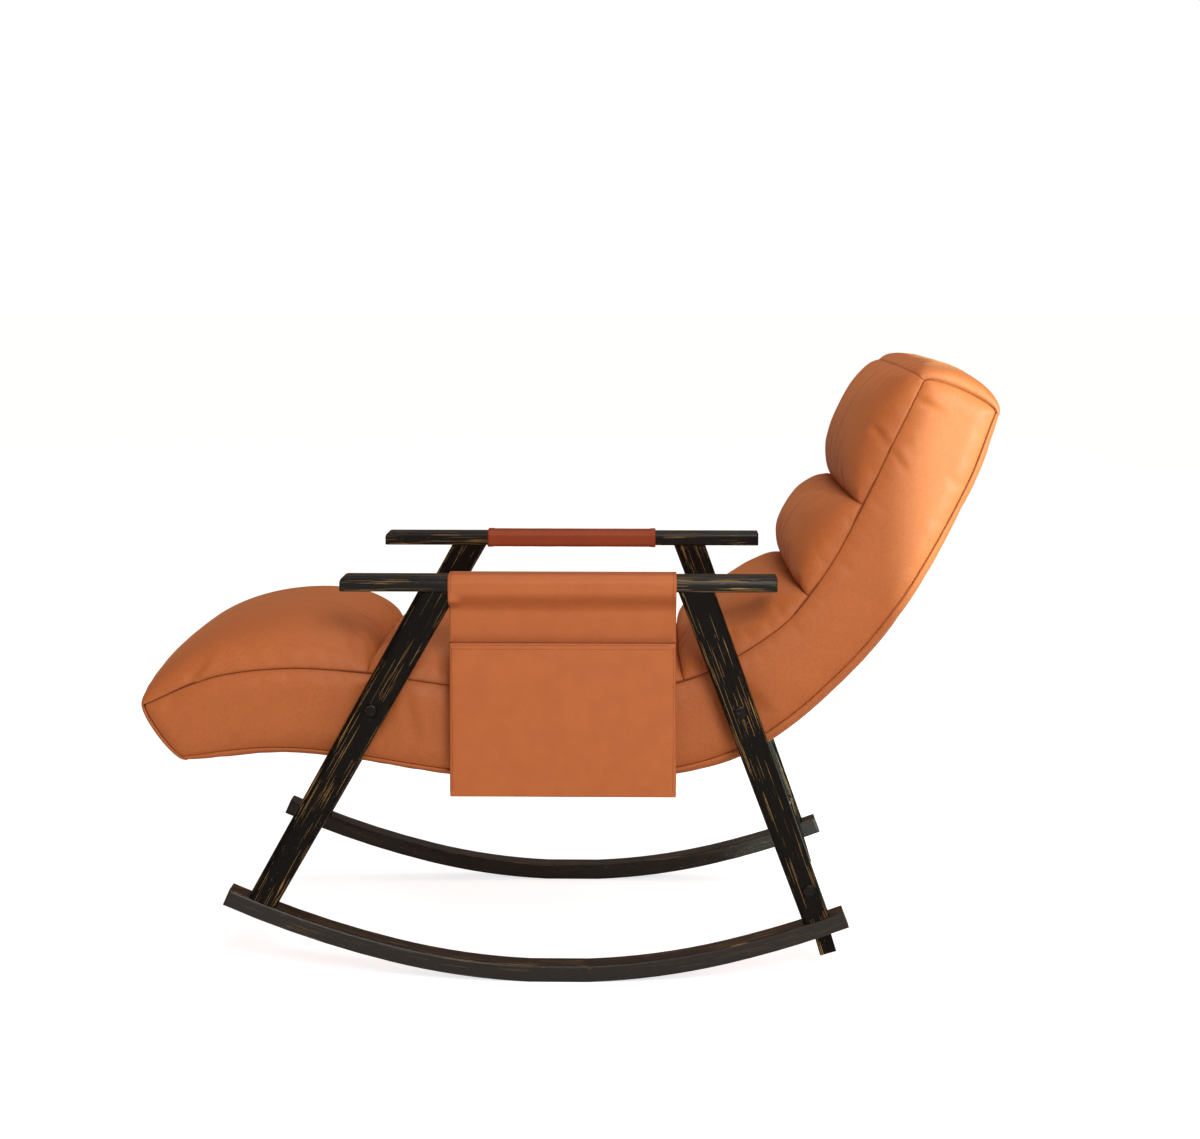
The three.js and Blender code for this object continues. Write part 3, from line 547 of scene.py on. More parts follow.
# The same at one share.
def stationAtOne(share):
    return [part[0] for part in stationAt(np.array([share]))]


# How far the lower seam is below the middle line.
def lowerHalf(share):
    return stationAt(share)[3] + tableAt(body["lower"], share)


# A table of (share, value) read with soft bends at its points.
def tableAt(table, share):
    spots, values = zip(*table)
    share = np.asarray(share, float)
    index = np.clip(np.searchsorted(spots, share, side="right") - 1, 0, len(spots) - 2)
    spots, values = np.array(spots, float), np.array(values, float)
    part = smooth((share - spots[index]) / (spots[index + 1] - spots[index]))
    return lerp(values[index], values[index + 1], part)


# A bulge over shares from 0 to 1: 0 at both ends, 1 in the middle, flatter for a higher power.
def crown(share, power):
    return np.maximum(1 - np.abs(2 * np.asarray(share, float) - 1) ** power, 0) ** (1 / power)


def lerp(first, second, share):
    return first + (second - first) * share


def smooth(share):
    share = np.clip(share, 0, 1)
    return share * share * (3 - 2 * share)


# Shares that cut a curve y(x) into pieces of the same length.
def evenShares(lengthAlong, heights, count):
    fine = np.linspace(0, 1, len(heights))
    arc = distances(np.hypot(np.diff(fine) * lengthAlong, np.diff(heights)))
    return np.interp(np.linspace(0, arc[-1], count + 1), arc, fine)


def toPart(points):
    return (np.asarray(points, float) + partOffset) * mm


def addMesh(name, vertices, faces, material):
    mesh = bpy.data.meshes.new(name)
    mesh.from_pydata([tuple(v) for v in toPart(vertices)], [], faces)
    mesh.materials.append(material)
    return addObject(name, mesh)


# A mesh changed by a function, then smooth with all its faces looking outwards.
def facingOut(mesh, change=None):
    work = bmesh.new()
    work.from_mesh(mesh)
    if change:
        change(work)
    bmesh.ops.recalc_face_normals(work, faces=work.faces)
    work.to_mesh(mesh)
    work.free()
    mesh.shade_smooth()


def readPoints(mesh, kind="co"):
    values = np.empty(len(mesh.vertices) * 3)
    mesh.vertices.foreach_get(kind, values)
    return values.reshape(-1, 3)


def writePoints(mesh, points):
    mesh.vertices.foreach_set("co", points.ravel())
    mesh.update()


# Padded forms

# A closed form from a grid of points [along][across]: its edges across are joined by a base of
# strips, and its first and last rows are closed by flat ends.
def formMesh(name, grid, material):
    rows, columns = grid.shape[:2]
    numbers = np.arange(rows * columns).reshape(rows, columns)
    faces = []
    for row in range(rows - 1):
        this, following = numbers[row].tolist(), numbers[row + 1].tolist()
        faces += zip(this[:-1], this[1:], following[1:], following[:-1])
        faces.append((this[0], following[0], following[-1], this[-1]))
    faces += [numbers[0].tolist(), numbers[-1].tolist()[::-1]]
    piece = addMesh(name, grid.reshape(-1, 3), faces, material)
    border = set(np.concatenate([numbers[0], numbers[-1], numbers[:, 0],
                                 numbers[:, -1]]).tolist())

    def sharpen(work):
        layer = work.edges.layers.float.new("crease_edge")
        for edge in work.edges:
            if edge.verts[0].index in border and edge.verts[1].index in border:
                edge[layer] = 1.0

    facingOut(piece.data, sharpen)
    piece.vertex_groups.new(name="pinned").add(sorted(border), 1.0, "REPLACE")
    return piece


cellSize = 7        # of the cloth, before the last subdivision
apart = 0.3         # between neighbouring forms of the cover
fineShares = np.linspace(0, 1, 600)


# A grid in the chair from its x and z, and its y.
def layOut(spots, y):
    return np.stack([spots[:, :, 0], np.broadcast_to(y, spots.shape[:2]), spots[:, :, 1]], axis=2)


# How many cells a curve over a length needs.
def cellCount(length, heights):
    return int(round(np.hypot(length / (len(heights) - 1), np.diff(heights)).sum() / cellSize))


# Shares across a flat cushion whose face rises at its edges.
def acrossShares(fullness, rise):
    wide = 2 * body["halfWidth"]
    return evenShares(wide, crown(fineShares, fullness) * rise, int(wide / cellSize))


rolls = {
    "names": ["foot", "calf", "seat", "rear_seat", "lumbar", "head"],
    "ends": [0, 0.211, 0.385, 0.56, 0.741, 0.857, 1],
    "height": 68, "heights": [1.09, 0.98, 0.98, 0.935, 0.99, 0.875],
    "crests": [0.585, 0.5, 0.5, 0.47, 0.5, 0.555],
    "fullnesses": [2.2, 2.2, 2.2, 2.5, 2.2, 2.3],
    "crease": 16, "headCrease": 30, "draw": 7, "gap": 0.15,
    "headShift": 5,                 # of the last crease towards the top, at the roll's middle
    "crownFullness": 2.7,
}


def rollGrid(index):
    gap = rolls["gap"] / bodyLine["arc"]
    start, end = rolls["ends"][index] + gap, rolls["ends"][index + 1] - gap
    first, last = index == 0, index == len(rolls["names"]) - 1
    full = rolls["height"] * rolls["heights"][index]
    skew = math.log(1 / 2) / math.log(rolls["crests"][index])
    lastRise = rolls["headCrease" if last else "crease"]
    length = (end - start) * bodyLine["arc"]

    def riseAt(share):
        swell = crown(share ** skew, rolls["fullnesses"][index])
        return lerp(lerp(rolls["crease"], lastRise, smooth(2 * share - 1)), full, swell), swell

    rises = riseAt(fineShares)[0]
    along = evenShares(length, rises, cellCount(length, rises))
    wide = 2 * body["halfWidth"]
    crossRises = crown(fineShares, rolls["crownFullness"]) * full
    across = evenShares(wide, crossRises, cellCount(wide, crossRises))
    rise, swell = riseAt(along)
    place, out, way, half = stationAt(lerp(start, end, along))
    crossSwell = crown(across, rolls["crownFullness"])[None, :]
    heights = half[:, None] + apart + rise[:, None] * crossSwell
    spots = place[:, None] + out[:, None] * heights[:, :, None]
    if last:
        shift = rolls["headShift"] * smooth(3 * along - 2)[:, None] * crossSwell
        spots += way[:, None] * shift[:, :, None]
    # a crease draws the sides in, but the body's own corners stay where the panel ends
    corner = (smooth(4 * along) if first else 1) * (smooth(4 - 4 * along) if last else 1)
    halfWidth = body["halfWidth"] - rolls["draw"] * (1 - swell) * corner
    return layOut(spots, halfWidth[:, None] * (2 * across - 1)[None, :])


back = {
    "fullness": 5.4, "usualRise": 11,
    "rises": [(0, 8), (0.05, 13), (0.5, 13), (0.62, 17), (0.72, 16.5), (0.83, 15), (0.9, 12),
              (0.96, 12), (1, 8)],
}


def bodyShares():
    return np.linspace(0, 1, int(round(bodyLine["arc"] / cellSize)) + 1)


def backGrid():
    share = bodyShares()
    place, out, _, _ = stationAt(share)
    across = acrossShares(back["fullness"], back["usualRise"])
    rises = tableAt(back["rises"], share)[:, None] * crown(across, back["fullness"])[None, :]
    heights = lowerHalf(share)[:, None] + apart + rises
    return layOut(place[:, None] - out[:, None] * heights[:, :, None],
                  body["halfWidth"] * (2 * across - 1))


ends = {
    "head": {"share": 1.0, "heading": 1, "rise": 24, "bulge": 11.5},
    "foot": {"share": 0.0, "heading": -1, "rise": 7, "bulge": 8},
    "fullness": 5.4, "rows": 24,
}


# The upper edge of an end follows the last roll's end, its lower one the end of the back.
def endEdges(name, across):
    rise = rolls["headCrease" if name == "head" else "crease"]
    return (tableAt(back["rises"], ends[name]["share"]) * crown(across, back["fullness"]),
            rise * crown(across, rolls["crownFullness"]))


# How far the upper edge is shifted at the head's end.
def headShift(name, across):
    return rolls["headShift"] * crown(across, rolls["crownFullness"]) * (name == "head")


def endGrid(name):
    values = ends[name]
    place, out, _, half = stationAtOne(values["share"])
    away = np.array([out[1], -out[0]]) * values["heading"]
    up = evenShares(2 * half, crown(fineShares, 2) * (values["rise"] + values["bulge"]),
                    ends["rows"])
    across = acrossShares(ends["fullness"], values["rise"])
    lowRise, highRise = endEdges(name, across)
    level = lerp((-half - apart - lowRise)[None, :], (half + apart + highRise)[None, :],
                 up[:, None])
    swell = crown(up, 2)[:, None]
    heights = swell * (values["bulge"] + values["rise"] * crown(across, ends["fullness"]))
    heights = apart + heights + smooth(4 * up - 3)[:, None] * headShift(name, across)
    return layOut(place + out * level[:, :, None] + away * heights[:, :, None],
                  body["halfWidth"] * (2 * across - 1))


panel = {
    "seamDepth": 3.5,       # how far the seams pull the panel's edges in
    "bulge": 6.5, "edgeLength": 11,
    "endReach": 0.06,       # share of the body over which the rows bend to its rounded ends
    "spacers": [(-275.7, 409), (266.1, 409)],
    "spacerRadius": 15, "spacerReach": 42, "spacerHold": 0.42,
    "rows": 19, "evenness": 0.55,   # rows up the panel, closer together at its seams
}


def panelGrid(sign):
    share = bodyShares()
    place, out, _, half = stationAt(share)
    even = np.linspace(-1, 1, panel["rows"])
    rows = lerp(np.sin(even * math.pi / 2), even, panel["evenness"])
    ahead = np.stack([out[:, 1], -out[:, 0]], axis=1)
    rounding = crown((rows + 1) / 2, 2)[None, :]
    headShare = smooth((share - 1) / panel["endReach"] + 1)[:, None]
    footShare = smooth(1 - share / panel["endReach"])[:, None]
    shift = rounding * (body["headBulge"] * headShare - body["footBulge"] * footShare)
    level = np.where(rows[None, :] < 0, lowerHalf(share)[:, None], half[:, None]) * rows[None, :]
    spots = (place[:, None] + out[:, None] * level[:, :, None]
             + ahead[:, None] * shift[:, :, None])
    edge = np.minimum(half[:, None] * (1 - np.abs(rows))[None, :],
                      (np.minimum(share, 1 - share) * bodyLine["arc"])[:, None])
    rise = 1 - np.exp(-edge / panel["edgeLength"])
    for x, z in panel["spacers"]:
        away = np.hypot(spots[:, :, 0] - x, spots[:, :, 1] - z)
        hold = smooth((away - panel["spacerRadius"]) / panel["spacerReach"])
        rise = np.minimum(rise, lerp(panel["spacerHold"], 1, hold))
    out = lerp(-panel["seamDepth"], panel["bulge"], rise)
    return layOut(spots, sign * (body["halfWidth"] + out))


padPieces = {}
for index, name in enumerate(rolls["names"]):
    padPieces[name + "_roll"] = formMesh(name + "Roll", rollGrid(index), napRoll)
padPieces["back_cover"] = formMesh("backCover", backGrid(), napPlain)
for name in ("head", "foot"):
    padPieces[name + "_end"] = formMesh(name + "End", endGrid(name), napPlain)
for name, sign in (("left", -1), ("right", 1)):
    grid = panelGrid(sign)
    padPieces["side_panel_" + name] = formMesh("sidePanel" + name.title(), grid, napPlain)
print("stage: padded forms,", len(padPieces))


# The cover swells: cloth with air under it, held at its seams and creases.

swellSettings = {
    "frames": 20, "cap": 24, "panelCap": 7,
    # kept of the broad swelling, and of the wrinkles that are the rest of it
    "growth": {"roll": 0.1, "cover": 0.06, "end": 0.06, "panel": 0.5},
    "wrinkles": {"foot_roll": 0.45, "roll": 0.8, "cover": 0.35, "end": 0.6, "panel": 0.45},
    "broadPasses": 100,
    "cloth": {
        "quality": 6, "mass": 0.25, "tension_stiffness": 12, "compression_stiffness": 6,
        "shear_stiffness": 4, "bending_stiffness": 1.0, "use_pressure": True,
        "uniform_pressure_force": 4.0, "shrink_min": -0.016, "vertex_group_mass": "pinned",
        "air_damping": 4,
    },
    "spacerHold": 5,                # how far round a spacer the panel is pinned
    "outermost": 268.5,             # nothing soft goes further from the middle than this
}


# The broad part of a move: each point's share evened out with its neighbours'.
def broadMove(mesh, move, held):
    pairs = np.array([edge.vertices[:] for edge in mesh.edges])
    joined = np.zeros(len(move))
    np.add.at(joined, pairs.ravel(), 1)
    broad = move.copy()
    for _ in range(swellSettings["broadPasses"]):
        total = np.zeros_like(broad)
        np.add.at(total, pairs[:, 0], broad[pairs[:, 1]])
        np.add.at(total, pairs[:, 1], broad[pairs[:, 0]])
        broad = (broad + total / joined[:, None]) / 2
        broad[held] = 0
    return broad


def aroundSpacer(point):
    x, _, z = np.array(point) / mm - partOffset
    return any(math.hypot(x - atX, z - atZ) < panel["spacerRadius"] + swellSettings["spacerHold"]
               for atX, atZ in panel["spacers"])


def addCloth(node, piece):
    if node.startswith("side_panel"):
        held = [vertex.index for vertex in piece.data.vertices if aroundSpacer(vertex.co)]
        piece.vertex_groups["pinned"].add(held, 1.0, "REPLACE")
    cloth = piece.modifiers.new("swell", "CLOTH")
    for key, value in swellSettings["cloth"].items():
        setattr(cloth.settings, key, value)
    cloth.settings.effector_weights.gravity = 0
    cloth.collision_settings.use_collision = False
    cloth.collision_settings.use_self_collision = False
    cloth.point_cache.frame_start = 1
    cloth.point_cache.frame_end = swellSettings["frames"]


def swellCover():
    for node, piece in padPieces.items():
        addCloth(node, piece)
    for number in range(1, swellSettings["frames"] + 1):
        scene.frame_set(number)
    depsgraph = bpy.context.evaluated_depsgraph_get()
    reach = swellSettings["outermost"] * mm
    for node, piece in padPieces.items():
        started = readPoints(piece.data)
        move = readPoints(piece.evaluated_get(depsgraph).data) - started
        length = np.linalg.norm(move, axis=1, keepdims=True)
        cap = swellSettings["panelCap" if node.startswith("side_panel") else "cap"] * mm
        move *= np.minimum(1, cap / np.maximum(length, 1e-9))
        print("   ", node, "moved up to", round(float(length.max() / mm), 1), "mm, mean",
              round(float(length.mean() / mm), 1))
        held = np.array([len(vertex.groups) > 0 for vertex in piece.data.vertices])
        broad = broadMove(piece.data, move, held)
        kept, fine = (next(value for key, value in swellSettings[name].items() if key in node)
                      for name in ("growth", "wrinkles"))
        place = started + broad * kept + (move - broad) * fine
        place[:, 1] = np.clip(place[:, 1], -reach, reach)
        piece.modifiers.clear()
        writePoints(piece.data, place)
    scene.frame_set(1)


# Neighbouring rolls press flat against each other at the plane of their crease.
def pressRolls():
    for index, name in enumerate(rolls["names"]):
        mesh = padPieces[name + "_roll"].data
        points = readPoints(mesh)
        for end, side in ((index, 1), (index + 1, -1)):
            if end in (0, len(rolls["names"])):
                continue
            place, out, _, _ = stationAtOne(rolls["ends"][end])
            ahead = np.array([out[1], 0, -out[0]])
            depth = (points - toPart([place[0], 0, place[1]])) @ ahead * side
            short = np.maximum(rolls["gap"] * mm - depth, 0)
            points += (short * side)[:, None] * ahead
        writePoints(mesh, points)


swellCover()
pressRolls()
print("stage: cover swollen")

for piece in padPieces.values():
    finer = piece.modifiers.new("finer", "SUBSURF")
    finer.levels = 1
    coarse = piece.data
    piece.data = bpy.data.meshes.new_from_object(
        piece.evaluated_get(bpy.context.evaluated_depsgraph_get()))
    piece.modifiers.clear()
    bpy.data.meshes.remove(coarse)


# Folds that the cover shows: a valley with a ridge beside it, along a path in the side view.
folds = [
    {"piece": "side_panel_left", "path": [(518, 864), (555, 846)], "width": 6, "depth": 2.6},
    {"piece": "head_roll", "path": [(457, 824), (484, 790)], "width": 6, "depth": 2.4},
    {"piece": "side_panel_left", "path": [(484, 790), (508, 756)], "width": 6, "depth": 1.8},
    {"piece": "foot_roll", "path": [(-524, 479), (-558, 436)], "width": 7, "depth": 2.6},
    {"piece": "foot_roll", "path": [(-336, 540), (-312, 507), (-291, 472)], "width": 10,
     "depth": 4},
    {"piece": "side_panel_left", "path": [(-232, 436), (-214, 346)], "width": 11, "depth": 2.4},
    {"piece": "rear_seat_roll", "path": [(240, 526), (278, 554), (300, 567)], "width": 16,
     "depth": 5},
]
# the ridge's height and distance as shares of the valley's, and how far from the middle a fold
# starts and over what it grows, as they are only on the near side
foldShape = {"ridge": 0.6, "ridgeAway": 1.7, "from": 60, "over": 150}


# How far points are to the left of a path, and at what share of its length.
def besidePath(points, path):
    path = np.array(path, float)
    total = lengthsAlong(path).sum()
    nearest = np.full(len(points), 1e9)
    side, share, done = np.zeros(len(points)), np.zeros(len(points)), 0.0
    for first, last in zip(path[:-1], path[1:]):
        step = last - first
        length = np.linalg.norm(step)
        part = np.clip((points - first) @ step / length ** 2, 0, 1)
        away = points - first - part[:, None] * step
        distance = np.linalg.norm(away, axis=1)
        closer = distance < nearest
        cross = np.sign(step[0] * away[:, 1] - step[1] * away[:, 0])
        nearest = np.where(closer, distance, nearest)
        side = np.where(closer, cross * distance, side)
        share = np.where(closer, (done + part * length) / total, share)
        done += length
    return side, share


def pressFolds():
    for fold in folds:
        mesh = padPieces[fold["piece"]].data
        points, ways = readPoints(mesh), readPoints(mesh, "normal")
        side, share = besidePath(points[:, [0, 2]] / mm - partOffset[[0, 2]], fold["path"])
        side /= fold["width"]
        ridge = foldShape["ridge"] * np.exp(-(side - foldShape["ridgeAway"]) ** 2)
        fade = np.sqrt(np.sin(math.pi * np.clip(share, 0.02, 0.98)))
        inside = smooth((-points[:, 1] / mm - foldShape["from"]) / foldShape["over"])
        height = (ridge - np.exp(-side ** 2)) * fade * inside * fold["depth"] * mm
        writePoints(mesh, points + ways * height[:, None])


pressFolds()
for node, piece in padPieces.items():
    piece.data.shade_smooth()
    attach(piece, "chair")
    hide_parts(node)


# Seam lines

def tubeMesh(name, paths, radius, material, sides=6):
    vertices, faces = [], []
    for path in paths:
        path = np.asarray(path, float)
        way = np.gradient(path, axis=0)
        way /= np.maximum(np.linalg.norm(way, axis=1, keepdims=True), 1e-9)
        first = len(vertices)
        for spot, heading in zip(path, way):
            turn = Vector(heading).to_track_quat("Z", "Y")
            for side in range(sides):
                angle = 2 * math.pi * side / sides
                ring = turn @ Vector((math.cos(angle) * radius, math.sin(angle) * radius, 0))
                vertices.append(spot + np.array(ring))
        last = len(vertices) - sides
        for ring in range(first, last, sides):
            for side in range(sides):
                a, b = ring + side, ring + (side + 1) % sides
                faces.append((a, b, b + sides, a + sides))
        faces += [range(first + sides - 1, first - 1, -1), range(last, last + sides)]
    piece = addMesh(name, vertices, [tuple(face) for face in faces], material)
    piece.data.shade_smooth()
    return piece


seams = {"inset": 2.2, "out": 0.15, "endOut": 0.2, "upperRadius": 1.0, "lowerRadius": 0.95}


# A line in the chair from its x and z, and its y.
def lineOf(spots, y):
    return np.stack([spots[:, 0], np.broadcast_to(y, len(spots)), spots[:, 1]], axis=1)


def seamPaths():
    share = np.linspace(0, 1, 260)
    place, out, _, half = stationAt(share)
    inward = body["halfWidth"] - seams["inset"]
    high = place + out * (half + seams["out"])[:, None]
    low = place - out * (lowerHalf(share) + seams["out"])[:, None]
    upper = [lineOf(high, sign * inward) for sign in (-1, 1)]
    lower = [lineOf(low, sign * inward) for sign in (-1, 1)]
    up = np.linspace(0, 1, 40)
    across = (1 - np.cos(np.linspace(0, math.pi, 80))) / 2
    for name in ("head", "foot"):
        values = ends[name]
        middle, way, _, tall = stationAtOne(values["share"])
        away = np.array([way[1], -way[0]]) * values["heading"]
        spots = (middle + way * (tall * (2 * up - 1))[:, None]
                 + away * (values["bulge"] * crown(up, 2))[:, None])
        lower += [lineOf(spots, sign * inward) for sign in (-1, 1)]
        lowRise, highRise = endEdges(name, across)
        highShift = headShift(name, across)
        for side, rise, shift in ((-1, lowRise, 0 * highShift), (1, highRise, highShift)):
            level = (tall + seams["endOut"] + rise) * side
            spots = middle + way * level[:, None] + away * shift[:, None]
            lower.append(lineOf(spots, inward * (2 * across - 1)))
    return upper, lower


upperSeams, lowerSeams = seamPaths()
# the upper seams' dark tubes lie in the seams' valley and paint its shade as well as the thread
for name, paths, radius, thread in (
        ("upperSeams", upperSeams, seams["upperRadius"], seamThreadAndShade),
        ("lowerSeams", lowerSeams, seams["lowerRadius"], endThread)):
    seamLines = tubeMesh(name, paths, radius, thread)
    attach(seamLines, "chair")
print("stage: seams")


# Leather strap round the left arm

# A sheet with a thickness, from a grid of points and the way its outer face looks.
def sheetMesh(name, grid, outward, thickness, material, closedAcross=False):
    rows, columns = grid.shape[:2]
    inner = grid - outward * thickness
    count = rows * columns
    faces = []
    wrap = columns if closedAcross else columns - 1
    for row in range(rows - 1):
        for column in range(wrap):
            a, b = row * columns + column, row * columns + (column + 1) % columns
            faces.append((a, b, b + columns, a + columns))
            faces.append((a + count, a + columns + count, b + columns + count, b + count))
    for first, turn in ((0, -1), ((rows - 1) * columns, 1)):
        for column in range(wrap):
            a, b = first + column, first + (column + 1) % columns
            faces.append((a, b, b + count, a + count)[::turn])
    if not closedAcross:
        for first, turn in ((0, 1), (columns - 1, -1)):
            for a in range(first, first + (rows - 1) * columns, columns):
                faces.append((a, a + columns, a + columns + count, a + count)[::turn])
    points = np.concatenate([grid.reshape(-1, 3), inner.reshape(-1, 3)])
    piece = addMesh(name, points, faces, material)
    facingOut(piece.data)
    return piece


# Points of a path at distances along it.
def pointsAt(points, spots):
    arc = distances(lengthsAlong(points))
    return np.stack([np.interp(spots, arc, values) for values in points.T], axis=1)


def resample(points, count):
    points = np.asarray(points, float)
    return pointsAt(points, np.linspace(0, lengthsAlong(points).sum(), count + 1))


arm = {
    "middle": 295, "width": 50, "under": 586, "thickness": 22, "outer": 11, "inner": 6, "lower": 2,
}
bag = {
    "front": -160, "rear": 172, "thickness": 2.5, "air": 0.3, "rows": 92, "columns": 150,
    "meetHeight": 551, "pocketTop": 510, "pocketBottom": 280, "depth": 24,
    "sideTop": 6,                   # of its straight sides, above the arm's underside
    "drapeReach": 35,               # under the arm, over which the strap starts to wave
    # the front leg's top under the strap: its reach, how soon the strap lets go of it along the
    # arm, and from what height above the meeting line and over what length it holds it out
    "legReach": 21, "legEdge": 13, "legUp": 9, "legOver": 15,
    "wave": 0.5, "waveSizes": (70, 40), "curl": 0.8, "curlReach": 7,
}


# Corner points of the arm's section grown outwards, from its lower inner corner round the top to
# its lower outer corner, as [y, z] on the left side.
def armRound(grow, steps=8):
    middle, half = -arm["middle"], arm["width"] / 2 + grow
    top = arm["under"] + arm["thickness"] + grow
    points = []
    for centreSign, radius, start in ((1, arm["inner"] + grow, 0), (-1, arm["outer"] + grow, 90)):
        centre = (middle + centreSign * (half - radius), top - radius)
        for step in range(steps + 1):
            angle = math.radians(start + 90 * step / steps)
            points.append((centre[0] + radius * math.cos(angle),
                           centre[1] + radius * math.sin(angle)))
    return points


# How far the strap's outer face is from the arm's middle at a height under the arm, where its
# two halves draw in to meet.
def hangAt(z):
    top = arm["under"] + 1
    draw = smooth(1.05 * np.clip((top - z) / (top - bag["meetHeight"]), 0, 1))
    return lerp(arm["width"] / 2 + bag["air"] + bag["thickness"], bag["thickness"] + 0.1, draw)


# Share by which the front leg's top holds the strap out.
def legPush(x, z):
    push = smooth((bag["front"] + bag["legReach"] - x) / bag["legEdge"])
    hold = smooth((z - bag["meetHeight"] - bag["legUp"]) / bag["legOver"])
    return push * hold * (z < arm["under"] + bag["sideTop"])


# The strap's outer line: up the inner side, over the arm and down the outer side.
def strapLine():
    over = armRound(bag["air"] + bag["thickness"])
    middle = -arm["middle"]
    heights = np.linspace(arm["under"] + bag["sideTop"], bag["meetHeight"], 25)
    lower = [(float(hangAt(z)), z) for z in heights]
    inner = [(middle + y, z) for y, z in reversed(lower)]
    outer = [(middle - y, z) for y, z in lower]
    return inner + over + outer


# How far the leather waves at a place, and how far its cut edges curl.
def waveAt(x, z):
    sizes = bag["waveSizes"]
    return bag["wave"] * noise.noise(Vector((x / sizes[0], z / sizes[1], 3.1)))


def curlAt(x):
    return bag["curl"] * math.exp(-min(x - bag["front"], bag["rear"] - x) / bag["curlReach"])


# A sheet's grid from its rows' x, its section as [y, z], and the section's normals and lifts.
def sectionGrid(rowsX, sectionAt):
    grid, out = [], []
    for x in rowsX:
        section, normal, lift = sectionAt(x)
        level = np.full(len(section), float(x))
        moved = section + normal * np.asarray(lift)[:, None]
        grid.append(np.stack([level, moved[:, 0], moved[:, 1]], axis=1))
        out.append(np.stack([0 * level, normal[:, 0], normal[:, 1]], axis=1))
    return np.array(grid), np.array(out)


def strapPiece():
    line = resample(strapLine(), bag["columns"])
    way = np.gradient(line, axis=0)
    way /= np.linalg.norm(way, axis=1, keepdims=True)
    normal = np.stack([way[:, 1], -way[:, 0]], axis=1)
    hang = np.clip((arm["under"] - line[:, 1]) / bag["drapeReach"], 0, 1)
    side = np.sign(line[:, 0] + arm["middle"])
    full = -arm["middle"] + side * (arm["width"] / 2 + bag["air"] + bag["thickness"])

    def sectionAt(x):
        across = lerp(line[:, 0], full, legPush(x, line[:, 1]))
        lift = hang * (np.array([waveAt(x, z) for z in line[:, 1]]) + curlAt(x))
        return np.stack([across, line[:, 1]], axis=1), normal, lift

    grid, out = sectionGrid(np.linspace(bag["front"], bag["rear"], bag["rows"]), sectionAt)
    piece = sheetMesh("bagStrapLeather", grid, out, bag["thickness"], saddleLeather)
    return piece


strap = strapPiece()
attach(strap, "chair")
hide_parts("bag_strap")


# The pouch: a flat bag with folded gussets, open at the top.
pouch = {
    "widen": 1.8, "bulge": 1.8, "gusset": 6, "corner": 4, "thickness": 2.4, "rows": 46,
    "slim": 10,                     # how far its back leans away from the body at the bottom
    # powers of the front's bulge up and across, of the gusset's fold, the corners and the rows
    "bulgePower": 0.7, "frontPower": 3.5, "foldPower": 1.6, "cornerPower": 6.0,
    "rowPower": 1.25,
    "foldFoot": 0.35,               # share of the gusset's fold that is left at the bottom
    "creep": 0.06, "seam": 0.3,     # the bottom's height, and the share of the depth it keeps
    "floor": (0.2, 2.6), "frontSteps": 60, "gussetSteps": 12, "columns": 300,
}


# One ring of the pouch at a height, [x, y] from its middle, outer face, starting at the front.
def pouchRing(up):
    halfX = (bag["rear"] - bag["front"]) / 2 + pouch["widen"]
    halfY = bag["depth"] / 2
    backY = halfY - pouch["slim"] * (1 - up)
    share = np.linspace(0, 1, pouch["frontSteps"] + 1)
    frontX = lerp(pouch["corner"] - halfX, halfX - pouch["corner"], share)
    bulge = pouch["bulge"] * math.sin(math.pi * up) ** pouch["bulgePower"]
    frontY = -halfY - bulge * crown(share, pouch["frontPower"])
    part = np.linspace(0, 1, pouch["gussetSteps"] + 1)
    gusset = pouch["gusset"] * lerp(pouch["foldFoot"], 1, up)
    fold = (gusset * (1 - np.abs(2 * part - 1) ** pouch["foldPower"])
            + pouch["corner"] * (1 - crown(part, pouch["cornerPower"])))
    ring = np.concatenate([
        np.stack([frontX, frontY], axis=1),
        np.stack([halfX - fold, lerp(-halfY, backY, part)], axis=1),
        np.stack([-frontX, np.full(len(share), backY)], axis=1),
        np.stack([fold - halfX, lerp(backY, -halfY, part)], axis=1),
    ])
    # the bottom creeps together into its seam
    ring[:, 1] = lerp(-halfY, ring[:, 1], lerp(pouch["seam"], 1, smooth(up / pouch["creep"])))
    return ring


# The bottom's inner and outer faces are fans round two points of their own.
def closeBottom(work, rings, columns, middleX):
    count = rings * columns
    middle = [middleX, -arm["middle"], bag["pocketBottom"]]
    drop, lift = [work.verts.new(tuple(toPart(np.add(middle, [0, 0, rise]))))
                  for rise in pouch["floor"]]
    flat = [face for face in work.faces if all(v.index % count < columns for v in face.verts)]
    bmesh.ops.delete(work, geom=flat, context="FACES_ONLY")
    work.verts.ensure_lookup_table()
    for column in range(columns):
        following = (column + 1) % columns
        work.faces.new((work.verts[following], work.verts[column], drop))
        work.faces.new((work.verts[column + count], work.verts[following + count], lift))


